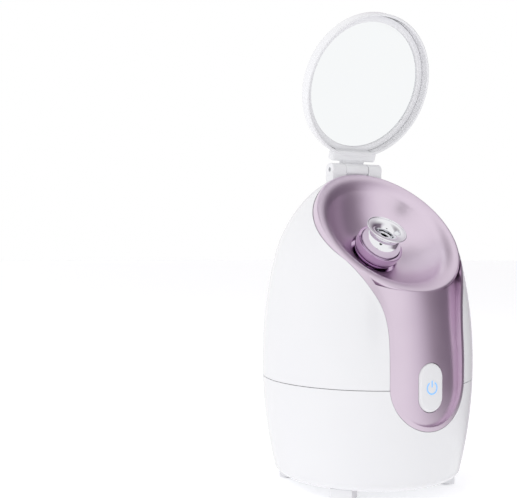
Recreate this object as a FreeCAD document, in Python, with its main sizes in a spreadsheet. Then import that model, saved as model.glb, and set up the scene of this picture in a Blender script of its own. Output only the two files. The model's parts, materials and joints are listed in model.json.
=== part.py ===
"""Facial steamer: egg-shaped tabletop body with a tilted steam bowl, a front trim
column with a push button, a swivelling steam nozzle, a hinged mirror lid and a
lift-out water tank at the back.

Frame: +Z up, the front faces -Y, the origin is on the table under the body's axis.
Parts of the bowl, the nozzle and the lid are drawn in a tilted frame of their own,
whose z axis is the axis of the piece, and are placed by that frame.
"""
import FreeCAD
import Part
import Sketcher
import math
import os
import re

Vector = FreeCAD.Vector
Rotation = FreeCAD.Rotation
Placement = FreeCAD.Placement

doc = FreeCAD.newDocument("facial_steamer")

# ---------------------------------------------------------------- driving sizes
SIZES = [
    # body
    ("body_radius", 70.4, "largest radius of the egg-shaped body"),
    ("body_height", 208.5, "top of the body above the table"),
    ("belly_height", 82, "height of the largest radius"),
    ("side_radius", 300, "arc of the body's side"),
    ("shoulder_drop", 58.5, "from the top down to where the side arc ends"),
    ("shoulder_radius", 90, "arc between side and crown"),
    ("seam_height", 72, "joint between base and upper shell"),
    ("seam_gap", 0.4, "visible groove of the joint"),
    ("wall", 2.4, "wall of both shells"),
    ("base_edge", 4.5, "rounding of the bottom edge"),
    ("base_opening", 55, "radius of the hole in the underside"),
    ("spigot_wall", 1.4, "wall of the ring that locates the upper shell"),
    ("spigot_reach", 3, "height of that ring above the joint"),
    # feet and bottom plate
    ("foot_height", 8, "underside of the body above the table"),
    ("foot_angle", 38.3, "direction of each foot from the X axis"),
    ("foot_radius", 52.5, "distance of each foot's centre from the axis"),
    ("foot_width", 14, "width of a foot"),
    ("foot_depth", 12, "radial depth of a foot"),
    ("pad_height", 1, "rubber pad under a foot"),
    ("pad_radius", 4.6, "radius of that pad"),
    ("plate_thickness", 2.2, "bottom plate"),
    ("plate_gap", 0.3, "play of the bottom plate in its hole"),
    ("screw_circle", 50.8, "distance of the base screws from the axis"),
    ("screw_shank", 1.5, "radius of a base screw"),
    ("screw_head", 2.8, "radius of its head"),
    ("screw_head_height", 2, "height of its head"),
    ("screw_length", 20, "length of its shank"),
    ("boss_wall", 2.5, "plastic around a screw"),
    ("play", 0.3, "gap around a piece that moves or drops in"),
    # steam bowl
    ("bowl_tilt", 48.3, "tilt of the bowl's rim from level, facing the front"),
    ("rim_setback", 44.9, "from the body's front to the rim's centre"),
    ("rim_drop", 39.3, "from the body's top down to the rim's centre"),
    ("rim_radius", 52.3, "outer radius of the rim"),
    ("rim_band", 7.7, "width of the flat rim"),
    ("rim_edge", 1.6, "rounding of the rim's outer edge"),
    ("dish_depth", 25, "depth of the dish below the rim"),
    ("bowl_wall", 2.2, "wall of the bowl"),
    ("skirt_depth", 6, "skirt that hangs from the rim"),
    ("trim_gap", 0.25, "gap between shell and trim pieces"),
    # front column
    ("column_half", 29.5, "half the width of the front column"),
    ("column_foot", 45, "lowest point of the column"),
    ("neck_angle", 24, "slope of the neck between bowl and column"),
    ("neck_radius", 60, "arc from the neck into the column"),
    ("neck_reach", 100, "how far the tilted outline runs down"),
    ("panel_recess", 3.5, "face of the column below the body's surface"),
    ("panel_drop", 10, "lowers the face's belly, deepening it towards the top"),
    ("panel_wall", 2.2, "wall of the column panel"),
    ("lip_width", 2.8, "raised border of the column"),
    ("lip_inset", 0.2, "border below the body's surface"),
    # power button
    ("button_half_width", 9.25, "half the width of the pill-shaped button"),
    ("button_half_height", 15.25, "half its height"),
    ("button_height", 72, "height of its centre"),
    ("button_proud", 0.9, "stands out of the panel by"),
    ("button_cap", 4.2, "thickness of the button's cap"),
    ("button_lip", 1.2, "width of the flange that retains it"),
    ("button_travel", 1, "how far it moves in"),
    ("icon_radius", 3.25, "radius of the power symbol"),
    ("icon_line", 0.75, "line width of the symbol"),
    ("switch_drop", 9, "the switch sits this far below the symbol"),
    ("switch_half", 3, "half the width of the tact switch"),
    ("switch_depth", 3.5, "depth of the tact switch"),
    ("plunger_radius", 1.7, "radius of its plunger"),
    ("board_thickness", 1.6, "both circuit boards"),
    ("switch_board_half", 24, "half the height of the switch board"),
    ("switch_board_width", 18, "its width"),
    ("post_offset", 20, "posts of the switch board from the button's centre"),
    ("post_radius", 2.5, "radius of those posts"),
    ("light_radius", 1.5, "radius of the indicator light"),
    # hinge
    ("hinge_reach", 57.4, "hinge axis from the rim's centre, along the rim"),
    ("hinge_drop", 1.9, "hinge axis below the rim"),
    ("knuckle_radius", 4.5, "radius of the hinge barrel"),
    ("hinge_length", 40.7, "length of the barrel"),
    ("lid_knuckle", 18.4, "length of the lid's own knuckle"),
    ("pin_radius", 1.5, "hinge pin"),
    ("pin_play", 0.05, "radial clearance of the turning knuckle on its pin"),
    ("bracket_foot", 14, "how deep the bracket's legs are drawn before trimming"),
    ("hinge_screw", 1.2, "radius of a bracket screw"),
    # lid
    ("lid_opening", 117.3, "angle between the closed and the open lid"),
    ("lid_radius", 49, "outer radius of the lid"),
    ("lid_wall", 2.2, "wall of the lid"),
    ("lid_rest", 0.4, "gap between closed lid and rim"),
    ("lid_side", 7.5, "height where the lid's rounded edge starts"),
    ("lid_edge", 3.5, "rounding of the lid's edge"),
    ("dome_radius", 420, "arc of the lid's dome"),
    ("mirror_height", 7.3, "mirror's face above the rim when closed"),
    ("mirror_thickness", 2, "mirror glass"),
    ("mirror_radius", 45.5, "radius of the mirror"),
    ("bezel_width", 4.2, "ring that holds the mirror"),
    ("bezel_height", 1.4, "its thickness"),
    ("arm_width", 36, "arm between lid and hinge"),
    ("arm_end", 53, "where the wide arm ends, from the rim's centre"),
    # nozzle
    ("ball_radius", 14, "nozzle's ball"),
    ("ball_depth", 14.6, "ball's centre below the rim"),
    ("ball_bore", 5.5, "radius of the steam passage"),
    ("ball_cut", 9, "height where the ball is cut off, from its centre"),
    ("nozzle_lean", 10.3, "nozzle's axis above the bowl's axis, at rest"),
    ("flare_radius", 14, "mouth of the chrome flare"),
    ("flare_height", 13.5, "mouth above the ball's centre"),
    ("flare_neck", 7.6, "outer radius of the flare's neck"),
    ("flare_wall", 1, "wall of the flare"),
    ("flare_bend", 12, "arc of the flare's outside"),
    ("collar_radius", 16.6, "outer radius of the swivel collar"),
    ("collar_top", 1.8, "collar's top edge above the ball's centre"),
    ("collar_flange", 18.6, "radius of its foot flange"),
    ("socket_reach", 9.4, "the socket grips the ball this far below its centre"),
    ("trunnion_radius", 1.1, "pins on which the ball tilts"),
    ("trunnion_reach", 1.6, "how far they stand out of the ball"),
    ("trunnion_play", 0.15, "radial clearance of those pins"),
    ("flange_height", 1.7, "thickness of that flange"),
    ("seat_land", 24.9, "underside of the bowl's boss below the rim"),
    ("seat_radius", 21.2, "nozzle seat and bowl boss"),
    ("seat_depth", 8.3, "height of the seat's housing"),
    ("seat_floor", 2.5, "floor of the seat"),
    ("stub_radius", 5, "steam stubs"),
    ("stub_bore", 3.5, "their bore"),
    ("stub_length", 8, "length of a stub"),
    ("needle_radius", 0.8, "ion needle"),
    ("needle_length", 9, "its length"),
    ("needle_offset", 9, "its distance from the seat's axis"),
    # water tank
    ("tank_depth", 26.4, "depth of the tank at the back"),
    ("tank_top", 184, "height where the tank is cut off"),
    ("tank_wall", 2, "wall of the tank"),
    ("bay_wall", 2.2, "flat wall between tank and body"),
    ("neck_setback", 12.5, "tank neck from the tank's flat face"),
    ("neck_bore", 5.5, "bore of the tank neck"),
    ("neck_wall", 1.8, "wall of the tank neck"),
    ("neck_length", 8, "neck below the tank's floor"),
    ("cap_wall", 1.5, "wall of the tank cap"),
    ("cap_height", 12, "height of the tank cap"),
    ("cap_floor", 2, "floor of the tank cap"),
    ("cage_height", 7.6, "cage that holds the valve spring"),
    ("cage_wall", 0.8, "its wall"),
    ("valve_bore", 2.4, "outlet in the cap"),
    ("valve_head", 4, "valve disc"),
    ("valve_stem", 1.3, "valve stem"),
    ("valve_tail", 3.5, "stem below the cap's floor"),
    ("spring_wire", 0.35, "valve spring wire"),
    ("grip_spacing", 6, "between the tank's grip ribs"),
    ("grip_height", 132, "lowest grip rib"),
    ("grip_rise", 0.8, "grip ribs stand out"),
    ("well_floor", 2, "floor of the dock's well"),
    ("well_wall", 1.5, "wall of the well"),
    ("deck_thickness", 3, "dock's deck"),
    ("deck_sink", 0.6, "deck below the joint"),
    ("nipple_radius", 2.5, "water nipples"),
    ("nipple_bore", 1.5, "their bore"),
    ("nipple_length", 6, "their length"),
    # boiler
    ("boiler_setback", 32, "boiler axis in front of the tank's face"),
    ("boiler_floor", 36, "underside of the boiler cup"),
    ("boiler_height", 26, "height of the boiler cup"),
    ("boiler_radius", 18, "outer radius of the cup"),
    ("boiler_wall", 2, "wall of the cup"),
    ("boiler_flange", 26.5, "radius of its top flange"),
    ("flange_thickness", 2.5, "thickness of that flange"),
    ("boiler_leg_circle", 22.5, "legs' distance from the boiler's axis"),
    ("boiler_leg", 3.2, "radius of a leg"),
    ("gasket_height", 1.2, "boiler gasket"),
    ("cover_height", 4, "boiler cover"),
    ("heater_height", 3.5, "ceramic heater plate"),
    ("thermostat_radius", 7, "bimetal thermostat"),
    ("thermostat_height", 6, "its height"),
    ("inlet_rise", 4.5, "water inlet above the cup's underside"),
    ("hose_wall", 1.6, "silicone hoses"),
    ("steam_bend", 18, "bend of the steam tube"),
    ("hose_grip", 6, "hose length pushed over a stub"),
    # electrics
    ("board_rise", 16, "main board above the table"),
    ("board_half", 34, "half the width of the main board"),
    ("board_front", 42, "its front edge before the axis"),
    ("board_back", 9, "its back edge before the axis"),
    ("post_inset", 4.5, "board posts from the board's edges"),
    ("board_post", 3, "radius of a board post"),
    ("board_screw", 1.25, "radius of a board screw"),
    ("inlet_height", 24, "mains inlet's centre"),
    ("inlet_half_width", 11, "half its width"),
    ("inlet_half_height", 9, "half its height"),
    ("inlet_depth", 19, "its depth from the body's surface"),
    ("socket_half_width", 8, "half the socket's width"),
    ("socket_half_height", 4.5, "half the socket's height"),
    ("socket_depth", 12, "depth of the socket"),
    ("contact_radius", 1.2, "mains contacts"),
    ("contact_spacing", 8.6, "between the contacts"),
]

sheet = doc.addObject("Spreadsheet::Sheet", "Sizes")
for row, (alias, number, note) in enumerate(SIZES, start=1):
    sheet.set(f"A{row}", alias)
    sheet.set(f"B{row}", str(number))
    sheet.set(f"C{row}", note)
    sheet.setAlias(f"B{row}", alias)
doc.recompute()

ALIASES = {alias for alias, _number, _note in SIZES}


def bound(text):
    """An expression in size names, as FreeCAD reads it."""
    text = str(text)
    return re.sub(r"[a-z_]+", lambda m: "Sizes." + m.group() if m.group() in ALIASES else m.group(), text)


def value(text):
    """The present value of an expression in size names."""
    return float(sheet.evalExpression(bound(text)))


# ---------------------------------------------------------------- derived places
def side(height, inset="0"):
    """Radius of the body's side at a height, or of the surface an inset inside it."""
    return (f"(body_radius - side_radius + sqrt((side_radius - ({inset}))^2"
            f" - (({height}) - belly_height)^2))")


RIM_Y = "(rim_setback - body_radius)"
RIM_Z = "(body_height - rim_drop)"
HINGE_Y = f"({RIM_Y} + hinge_reach * cos(bowl_tilt) + hinge_drop * sin(bowl_tilt))"
HINGE_Z = f"({RIM_Z} + hinge_reach * sin(bowl_tilt) - hinge_drop * cos(bowl_tilt))"
BALL_Y = f"({RIM_Y} + ball_depth * sin(bowl_tilt))"
BALL_Z = f"({RIM_Z} - ball_depth * cos(bowl_tilt))"
LID_ANGLE = "(bowl_tilt - lid_opening)"
LID_Y = f"({HINGE_Y} - hinge_reach * cos({LID_ANGLE}) - hinge_drop * sin({LID_ANGLE}))"
LID_Z = f"({HINGE_Z} - hinge_reach * sin({LID_ANGLE}) + hinge_drop * cos({LID_ANGLE}))"
BAY_Y = "(body_radius - tank_depth)"
NECK_Y = f"({BAY_Y} + play + neck_setback)"
BOILER_Y = f"({BAY_Y} - boiler_setback)"
BASE_TOP = "(seam_height - seam_gap / 2)"
UPPER_FOOT = "(seam_height + seam_gap / 2)"
PLATE_TOP = "(foot_height + plate_thickness)"
FACE_Y = "(panel_recess - body_radius)"
COLUMN_CENTRE = "(column_foot + column_half)"
CAP_RADIUS = "(neck_bore + neck_wall + cap_wall + 0.2)"
CAP_BOTTOM = f"({UPPER_FOOT} - cap_height)"
WELL_FLOOR = f"({CAP_BOTTOM} - valve_tail - play)"
FLANGE_FACE = f"({FACE_Y} + button_cap)"
SWITCH_FACE = f"({FLANGE_FACE} + button_lip + 1.6)"
SWITCH_BACK = f"({SWITCH_FACE} + switch_depth)"
COVER_TOP = "(boiler_floor + boiler_height + gasket_height + cover_height)"


# ---------------------------------------------------------------- building blocks
def place(thing, x="0", y="0", z="0", angle="0", axis=(1, 0, 0)):
    """Bind where a finished object stands, turned by an angle about an axis."""
    thing.Placement = Placement(Vector(0, 0, 0), Rotation(Vector(*axis), value(angle) or 0.0))
    if value(angle):
        thing.setExpression("Placement.Rotation.Angle", bound(angle))
    for letter, text in zip("xyz", (x, y, z)):
        thing.setExpression(f"Placement.Base.{letter}", bound(text))
    return thing


def rim_frame(thing):
    """Stand a piece on the centre of the bowl's rim, its z axis along the bowl's axis."""
    return place(thing, y=RIM_Y, z=RIM_Z, angle="bowl_tilt")


def lid_frame(thing):
    """The rim's frame as the open lid carries it."""
    return place(thing, y=LID_Y, z=LID_Z, angle=LID_ANGLE)


def nozzle_frame(thing):
    """Stand a piece on the ball's centre, its z axis along the nozzle."""
    return place(thing, y=BALL_Y, z=BALL_Z, angle="bowl_tilt - nozzle_lean")


TURNS = {"z": (0, 0), "y": ((1, 0, 0), -90), "-y": ((1, 0, 0), 90), "x": ((0, 1, 0), 90)}


def cylinder(name, radius, height, x="0", y="0", z="0", along="z"):
    """A cylinder that starts at a point and runs along an axis."""
    thing = doc.addObject("Part::Cylinder", name)
    thing.setExpression("Radius", bound(radius))
    thing.setExpression("Height", bound(height))
    axis, angle = TURNS[along]
    if angle:
        thing.Placement = Placement(Vector(0, 0, 0), Rotation(Vector(*axis), angle))
    for letter, text in zip("xyz", (x, y, z)):
        thing.setExpression(f"Placement.Base.{letter}", bound(text))
    return thing


def block(name, x, y, z):
    """A box between two values on each axis."""
    thing = doc.addObject("Part::Box", name)
    for letter, edge, (low, high) in zip("xyz", ("Length", "Width", "Height"), (x, y, z)):
        thing.setExpression(edge, bound(f"({high}) - ({low})"))
        thing.setExpression(f"Placement.Base.{letter}", bound(low))
    return thing


def cut(name, base, *tools):
    """A base with one or more tools taken away."""
    for number, tool in enumerate(tools):
        last = number == len(tools) - 1
        result = doc.addObject("Part::Cut", name if last else f"{name}_step_{number}")
        result.Base = base
        result.Tool = tool
        base = result
    return result


def fuse(name, *things):
    """Several things joined into one solid."""
    result = doc.addObject("Part::MultiFuse", name)
    result.Shapes = list(things)
    result.Refine = True
    return result


def common(name, *things):
    """What several things share."""
    result = doc.addObject("Part::MultiCommon", name)
    result.Shapes = list(things)
    return result


def group(name, things):
    """Identical pieces kept together as separate solids."""
    result = doc.addObject("Part::Compound", name)
    result.Links = list(things)
    return result


def origin_plane(body, role):
    return next(item for item in body.Origin.OriginFeatures if item.Role == role)


def attached_sketch(body, role):
    sketch = body.newObject("Sketcher::SketchObject", body.Name + "_sketch")
    sketch.AttachmentSupport = [(origin_plane(body, role), "")]
    sketch.MapMode = "FlatFace"
    return sketch


def pin_point(sketch, geometry, end, x, y, name):
    """Tie one point of a sketch to a pair of expressions."""
    for kind, text in (("DistanceX", x), ("DistanceY", y)):
        label = f"{name}_{kind[-1]}"
        index = sketch.addConstraint(Sketcher.Constraint(kind, -1, 1, geometry, end, value(text)))
        sketch.renameConstraint(index, label)
        sketch.setExpression(f"Constraints.{label}", bound(text))


def arc_between(start, finish, radius):
    """Arc from start to finish; a positive radius bulges to the right of the way."""
    chord = finish - start
    half = chord.Length / 2
    sagitta = abs(radius) - math.sqrt(max(radius * radius - half * half, 0))
    side_way = Vector(chord.y, -chord.x, 0).normalize()
    middle = (start + finish) * 0.5 + side_way * math.copysign(sagitta, radius)
    return Part.Arc(start, middle, finish)


def outline(sketch, points, arcs=None):
    """A closed outline through points given as expressions.

    arcs gives, for the stretch that starts at a point's number, the arc's radius and
    the side it bulges to: +1 right of the way along the outline, -1 left.
    """
    arcs = arcs or {}
    spots = [Vector(value(x), value(y), 0) for x, y in points]
    count = len(points)
    ends = []
    for number in range(count):
        start, finish = spots[number], spots[(number + 1) % count]
        if number in arcs:
            radius, bulge = arcs[number]
            curve = arc_between(start, finish, bulge * value(radius))
            index = sketch.addGeometry(curve, False)
            # an arc's first point is the one it starts from anticlockwise
            forward = bulge > 0
            ends.append((index, 1 if forward else 2, 2 if forward else 1))
        else:
            index = sketch.addGeometry(Part.LineSegment(start, finish), False)
            ends.append((index, 1, 2))
    for number in range(count):
        here, after = ends[number], ends[(number + 1) % count]
        sketch.addConstraint(Sketcher.Constraint("Coincident", here[0], here[2], after[0], after[1]))
        pin_point(sketch, here[0], here[1], *points[number], f"p{number}")
        if number in arcs:
            radius = arcs[number][0]
            index = sketch.addConstraint(Sketcher.Constraint("Radius", here[0], value(radius)))
            sketch.renameConstraint(index, f"r{number}")
            sketch.setExpression(f"Constraints.r{number}", bound(radius))


def turned(name, points, arcs=None):
    """A body turned about its z axis from a half section of (radius, height) points."""
    body = doc.addObject("PartDesign::Body", name)
    sketch = attached_sketch(body, "XZ_Plane")
    outline(sketch, points, arcs)
    turn = body.newObject("PartDesign::Revolution", name + "_turn")
    turn.Profile = sketch
    turn.ReferenceAxis = (sketch, ["V_Axis"])
    turn.Angle = 360
    return body


def extruded(name, points, length, arcs=None, role="XY_Plane", both=False):
    """A body extruded from an outline on one of its own planes."""
    body = doc.addObject("PartDesign::Body", name)
    sketch = attached_sketch(body, role)
    outline(sketch, points, arcs)
    pad = body.newObject("PartDesign::Pad", name + "_pad")
    pad.Profile = sketch
    pad.setExpression("Length", bound(length))
    pad.Midplane = both
    return body


def bent_tube(name, outer, inner, first, bend, turn, last):
    """A hose: straight up its z axis, round a bend towards -y, and straight again."""
    body = doc.addObject("PartDesign::Body", name)
    path = attached_sketch(body, "YZ_Plane")
    path.Label = name + "_path"
    points = [
        ("0", "0"),
        ("0", first),
        (f"-({bend}) * (1 - cos({turn}))", f"({first}) + ({bend}) * sin({turn})"),
        (f"-({bend}) * (1 - cos({turn})) - ({last}) * sin({turn})",
         f"({first}) + ({bend}) * sin({turn}) + ({last}) * cos({turn})"),
    ]
    spots = [Vector(value(x), value(y), 0) for x, y in points]
    path.addGeometry(Part.LineSegment(spots[0], spots[1]), False)
    path.addGeometry(arc_between(spots[1], spots[2], value(bend)), False)
    path.addGeometry(Part.LineSegment(spots[2], spots[3]), False)
    path.addConstraint(Sketcher.Constraint("Coincident", 0, 2, 1, 1))
    path.addConstraint(Sketcher.Constraint("Coincident", 1, 2, 2, 1))
    for (geometry, end), (x, y), label in zip(((0, 1), (0, 2), (2, 1), (2, 2)), points, "abcd"):
        pin_point(path, geometry, end, x, y, label)
    index = path.addConstraint(Sketcher.Constraint("Radius", 1, value(bend)))
    path.renameConstraint(index, "bend")
    path.setExpression("Constraints.bend", bound(bend))
    ring = body.newObject("Sketcher::SketchObject", name + "_ring")
    ring.AttachmentSupport = [(origin_plane(body, "XY_Plane"), "")]
    ring.MapMode = "FlatFace"
    for number, (label, text) in enumerate((("outer", outer), ("inner", inner))):
        ring.addGeometry(Part.Circle(Vector(0, 0, 0), Vector(0, 0, 1), value(text)), False)
        ring.addConstraint(Sketcher.Constraint("Coincident", number, 3, -1, 1))
        index = ring.addConstraint(Sketcher.Constraint("Radius", number, value(text)))
        ring.renameConstraint(index, label)
        ring.setExpression(f"Constraints.{label}", bound(text))
    pipe = body.newObject("PartDesign::AdditivePipe", name + "_pipe")
    pipe.Profile = ring
    pipe.Spine = path
    return body


# ---------------------------------------------------------------- the body's form
def egg(name, inset, foot):
    """The solid body of revolution, an inset inside the outer surface, above a foot."""
    shoulder = "(body_height - shoulder_drop)"
    lean = f"asin(({shoulder} - belly_height) / side_radius)"
    centre_r = f"(body_radius - side_radius + (side_radius - shoulder_radius) * cos({lean}))"
    centre_z = f"(belly_height + (side_radius - shoulder_radius) * sin({lean}))"
    rise = f"({centre_z} - body_height)"
    crown = f"((shoulder_radius^2 - {centre_r}^2 - {rise}^2) / (2 * {rise} + 2 * shoulder_radius))"
    reach = "sqrt({0}^2 + (body_height - {2} - {1})^2)".format(centre_r, centre_z, crown)
    joint_r = f"({centre_r} - (shoulder_radius - ({inset})) * {centre_r} / {reach})"
    joint_z = (f"({centre_z} + (shoulder_radius - ({inset})) *"
               f" (body_height - {crown} - {centre_z}) / {reach})")
    side_r = f"(body_radius - side_radius + (side_radius - ({inset})) * cos({lean}))"
    side_z = f"(belly_height + (side_radius - ({inset})) * sin({lean}))"
    points = [
        ("0", foot),
        (side(foot, inset), foot),
        (side_r, side_z),
        (joint_r, joint_z),
        ("0", f"body_height - ({inset})"),
    ]
    arcs = {
        1: (f"side_radius - ({inset})", 1),
        2: (f"shoulder_radius - ({inset})", 1),
        3: (f"{crown} - ({inset})", 1),
    }
    return turned(name, points, arcs)


def belly(name, recess, foot, top):
    """The side's arc alone, with the column's own belly, as a solid of revolution."""
    def radius(height):
        return (f"(body_radius - ({recess}) - side_radius + sqrt(side_radius^2"
                f" - (({height}) - belly_height + panel_drop)^2))")
    points = [("0", foot), (radius(foot), foot), (radius(top), top), ("0", top)]
    return turned(name, points, {1: ("side_radius", 1)})


def trim_outline(name, grow):
    """Everything inside the trim's outline: rim circle, neck and column with round foot."""
    radius = f"(rim_radius + trim_gap + ({grow}))"
    half = f"(column_half + ({grow}))"
    leave_x = f"({radius} * cos(neck_angle))"
    leave_y = f"(-{radius} * sin(neck_angle))"
    corner_y = f"({leave_y} - ({leave_x} - {half}) / tan(neck_angle))"
    arc_radius = f"(neck_radius - ({grow}))"
    tangent = f"({arc_radius} * tan(neck_angle / 2))"
    arc_x = f"({half} + {tangent} * sin(neck_angle))"
    arc_y = f"({corner_y} + {tangent} * cos(neck_angle))"
    points = [
        (half, "-neck_reach"),
        (half, f"{corner_y} - {tangent}"),
        (arc_x, arc_y),
        (leave_x, leave_y),
        ("0", radius),
        (f"-{leave_x}", leave_y),
        (f"-{arc_x}", arc_y),
        (f"-{half}", f"{corner_y} - {tangent}"),
        (f"-{half}", "-neck_reach"),
    ]
    arcs = {1: (arc_radius, -1), 3: (radius, 1), 4: (radius, 1), 6: (arc_radius, -1)}
    tilted = rim_frame(extruded(name + "_tilted", points, "70", arcs, both=True))
    foot = cylinder(name + "_foot", half, "60", y="-40", z=COLUMN_CENTRE, along="-y")
    column = block(name + "_column", (f"-{half}", half), ("-100", "-40"),
                   (COLUMN_CENTRE, f"{COLUMN_CENTRE} + 30"))
    return fuse(name, tilted, foot, column)


# ---------------------------------------------------------------- shells
def base_screw_places():
    for turn in ("foot_angle", "180 - foot_angle", "180 + foot_angle", "360 - foot_angle"):
        yield turn, f"screw_circle * cos({turn})", f"screw_circle * sin({turn})"


def make_base_shell():
    lip = f"({side('foot_height + base_edge')} - base_edge)"
    inner_top = side(BASE_TOP, "wall")
    points = [
        ("base_opening", "foot_height"),
        (lip, "foot_height"),
        (side("foot_height + base_edge"), "foot_height + base_edge"),
        (side(BASE_TOP), BASE_TOP),
        (f"{inner_top} - trim_gap", BASE_TOP),
        (f"{inner_top} - trim_gap", "seam_height + spigot_reach"),
        (f"{inner_top} - trim_gap - spigot_wall", "seam_height + spigot_reach"),
        (f"{inner_top} - trim_gap - spigot_wall", "seam_height - spigot_reach"),
        (side("seam_height - 6", "wall"), "seam_height - 6"),
        (side(PLATE_TOP + " + 0.4", "wall"), PLATE_TOP + " + 0.4"),
        ("base_opening", PLATE_TOP + " + 0.4"),
    ]
    arcs = {1: ("base_edge", 1), 2: ("side_radius", 1), 8: ("side_radius - wall", -1)}
    section = turned("base_section", points, arcs)
    bosses = []
    for number, (turn, x, y) in enumerate(base_screw_places()):
        boss = cylinder(f"boss_{number}", "screw_shank + boss_wall", "screw_length - 4", x, y, PLATE_TOP)
        rib = block(f"boss_rib_{number}", ("0", "30"), ("-1.2", "1.2"), ("0", "screw_length - 4"))
        place(rib, f"{x} + 1.2 * sin({turn})", f"{y} - 1.2 * cos({turn})", PLATE_TOP, turn, (0, 0, 1))
        bosses += [boss, rib]
    inside = egg("base_inside", "wall", PLATE_TOP)
    posts = common("boss_set", fuse("boss_solids", *bosses), inside)
    holes = [cylinder(f"boss_hole_{number}", "screw_shank", "screw_length + 4", x, y, "2")
             for number, (_turn, x, y) in enumerate(base_screw_places())]
    rear = common("rear_room", egg("rear_inside", "wall", "seam_height - 8"),
                  block("rear_block", ("-100", "100"), (f"{BAY_Y} - bay_wall - trim_gap", "100"),
                        ("seam_height - 8", "seam_height + 20")))
    socket = block("inlet_hole", ("-(inlet_half_width + trim_gap)", "inlet_half_width + trim_gap"),
                   ("40", "100"), ("inlet_height - inlet_half_height - trim_gap",
                                   "inlet_height + inlet_half_height + trim_gap"))
    return cut("base_shell", fuse("base_with_bosses", section, posts), *holes, rear, socket,
               trim_outline("base_trim", "0"))


def make_upper_shell():
    skin = cut("upper_skin", egg("upper_outer", "0", UPPER_FOOT), egg("upper_inner", "wall", UPPER_FOOT),
               block("tank_space", ("-100", "100"), (BAY_Y, "100"), ("0", "body_height + 9")))
    bay = common("bay_plate", egg("bay_inside", "wall / 2", UPPER_FOOT),
                 block("bay_block", ("-100", "100"), (f"{BAY_Y} - bay_wall", BAY_Y),
                       (UPPER_FOOT, "body_height")))
    holes = [cylinder(f"hinge_hole_{number}", "hinge_screw", "40", x, HINGE_Y, f"{HINGE_Z} - 30")
             for number, x in enumerate(hinge_screw_places())]
    knuckle_room = cylinder("knuckle_room", "knuckle_radius + play", "lid_knuckle + 2 * play",
                            "-lid_knuckle / 2 - play", HINGE_Y, HINGE_Z, along="x")
    return cut("upper_shell", fuse("upper_with_bay", skin, bay), trim_outline("upper_trim", "0"),
               knuckle_room, *holes)


def make_bottom_plate():
    plate = cylinder("plate_disc", "base_opening - plate_gap", "plate_thickness", z="foot_height")
    posts = [cylinder(f"board_post_{n}", "board_post", f"board_rise - {PLATE_TOP}", x, y, PLATE_TOP)
             for n, (x, y) in enumerate(board_post_places())]
    legs = [cylinder(f"boiler_leg_{n}", "boiler_leg",
                     f"boiler_floor + boiler_height - flange_thickness - {PLATE_TOP}", x, y, PLATE_TOP)
            for n, (x, y) in enumerate(boiler_leg_places())]
    holes = [cylinder(f"plate_hole_{n}", "screw_shank + 0.2", "10", x, y, "4")
             for n, (_turn, x, y) in enumerate(base_screw_places())]
    holes += [cylinder(f"post_hole_{n}", "board_screw", "5", x, y, "board_rise - 4.5")
              for n, (x, y) in enumerate(board_post_places())]
    holes += [cylinder(f"leg_hole_{n}", "board_screw", "9", x, y,
                       "boiler_floor + boiler_height - flange_thickness - 7")
              for n, (x, y) in enumerate(boiler_leg_places())]
    vents = [block(f"vent_{n}", ("-15", "15"), (f"{-18 + 6 * n} - 1", f"{-18 + 6 * n} + 1"), ("0", "20"))
             for n in range(4)]
    return cut("bottom_plate", fuse("plate_with_posts", plate, *posts, *legs), *holes, *vents)


def make_feet():
    feet = []
    pads = []
    screws = []
    for number, (turn, x, y) in enumerate(base_screw_places()):
        foot = doc.addObject("Part::Box", f"foot_block_{number}")
        foot.setExpression("Length", bound("foot_depth"))
        foot.setExpression("Width", bound("foot_width"))
        foot.setExpression("Height", bound("foot_height - pad_height"))
        place(foot, f"(foot_radius - foot_depth / 2) * cos({turn}) + foot_width / 2 * sin({turn})",
              f"(foot_radius - foot_depth / 2) * sin({turn}) - foot_width / 2 * cos({turn})",
              "pad_height", turn, (0, 0, 1))
        hole = cylinder(f"foot_hole_{number}", "screw_shank + 0.2", "20", x, y, "0")
        sink = cylinder(f"foot_sink_{number}", "screw_head + 0.2", "screw_head_height + 0.4", x, y,
                        "pad_height")
        feet.append(cut(f"foot_{number}", foot, hole, sink))
        pads.append(cylinder(f"foot_pad_{number}", "pad_radius", "pad_height",
                             f"foot_radius * cos({turn})", f"foot_radius * sin({turn})", "0"))
        head = cylinder(f"base_screw_head_{number}", "screw_head", "screw_head_height", x, y,
                        "pad_height + 0.4")
        shank = cylinder(f"base_screw_shank_{number}", "screw_shank", "screw_length", x, y,
                         "pad_height + screw_head_height + 0.4")
        screws.append(fuse(f"base_screw_{number}", head, shank))
    return group("base_feet", feet), group("foot_pads", pads), group("base_screws", screws)


# ---------------------------------------------------------------- trim
def make_steam_bowl():
    mouth = "(rim_radius - rim_band)"
    sphere = f"(({mouth}^2 + dish_depth^2) / (2 * dish_depth))"
    centre = f"({sphere} - dish_depth)"
    hole = "(collar_radius + play)"

    def dish(radius, extra="0"):
        return f"({centre} - sqrt(({sphere} + ({extra}))^2 - ({radius})^2))"

    points = [
        (hole, dish(hole)),
        (hole, "-seat_land"),
        ("seat_radius", "-seat_land"),
        ("seat_radius", dish("seat_radius", "bowl_wall")),
        (f"sqrt(({sphere} + bowl_wall)^2 - ({centre} + bowl_wall)^2)", "-bowl_wall"),
        ("rim_radius - bowl_wall", "-bowl_wall"),
        ("rim_radius - bowl_wall", "-skirt_depth"),
        ("rim_radius", "-skirt_depth"),
        ("rim_radius", "-rim_edge"),
        ("rim_radius - rim_edge", "0"),
        (mouth, "0"),
    ]
    arcs = {3: (f"{sphere} + bowl_wall", 1), 8: ("rim_edge", 1), 10: (sphere, -1)}
    return rim_frame(turned("steam_bowl", points, arcs))


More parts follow.
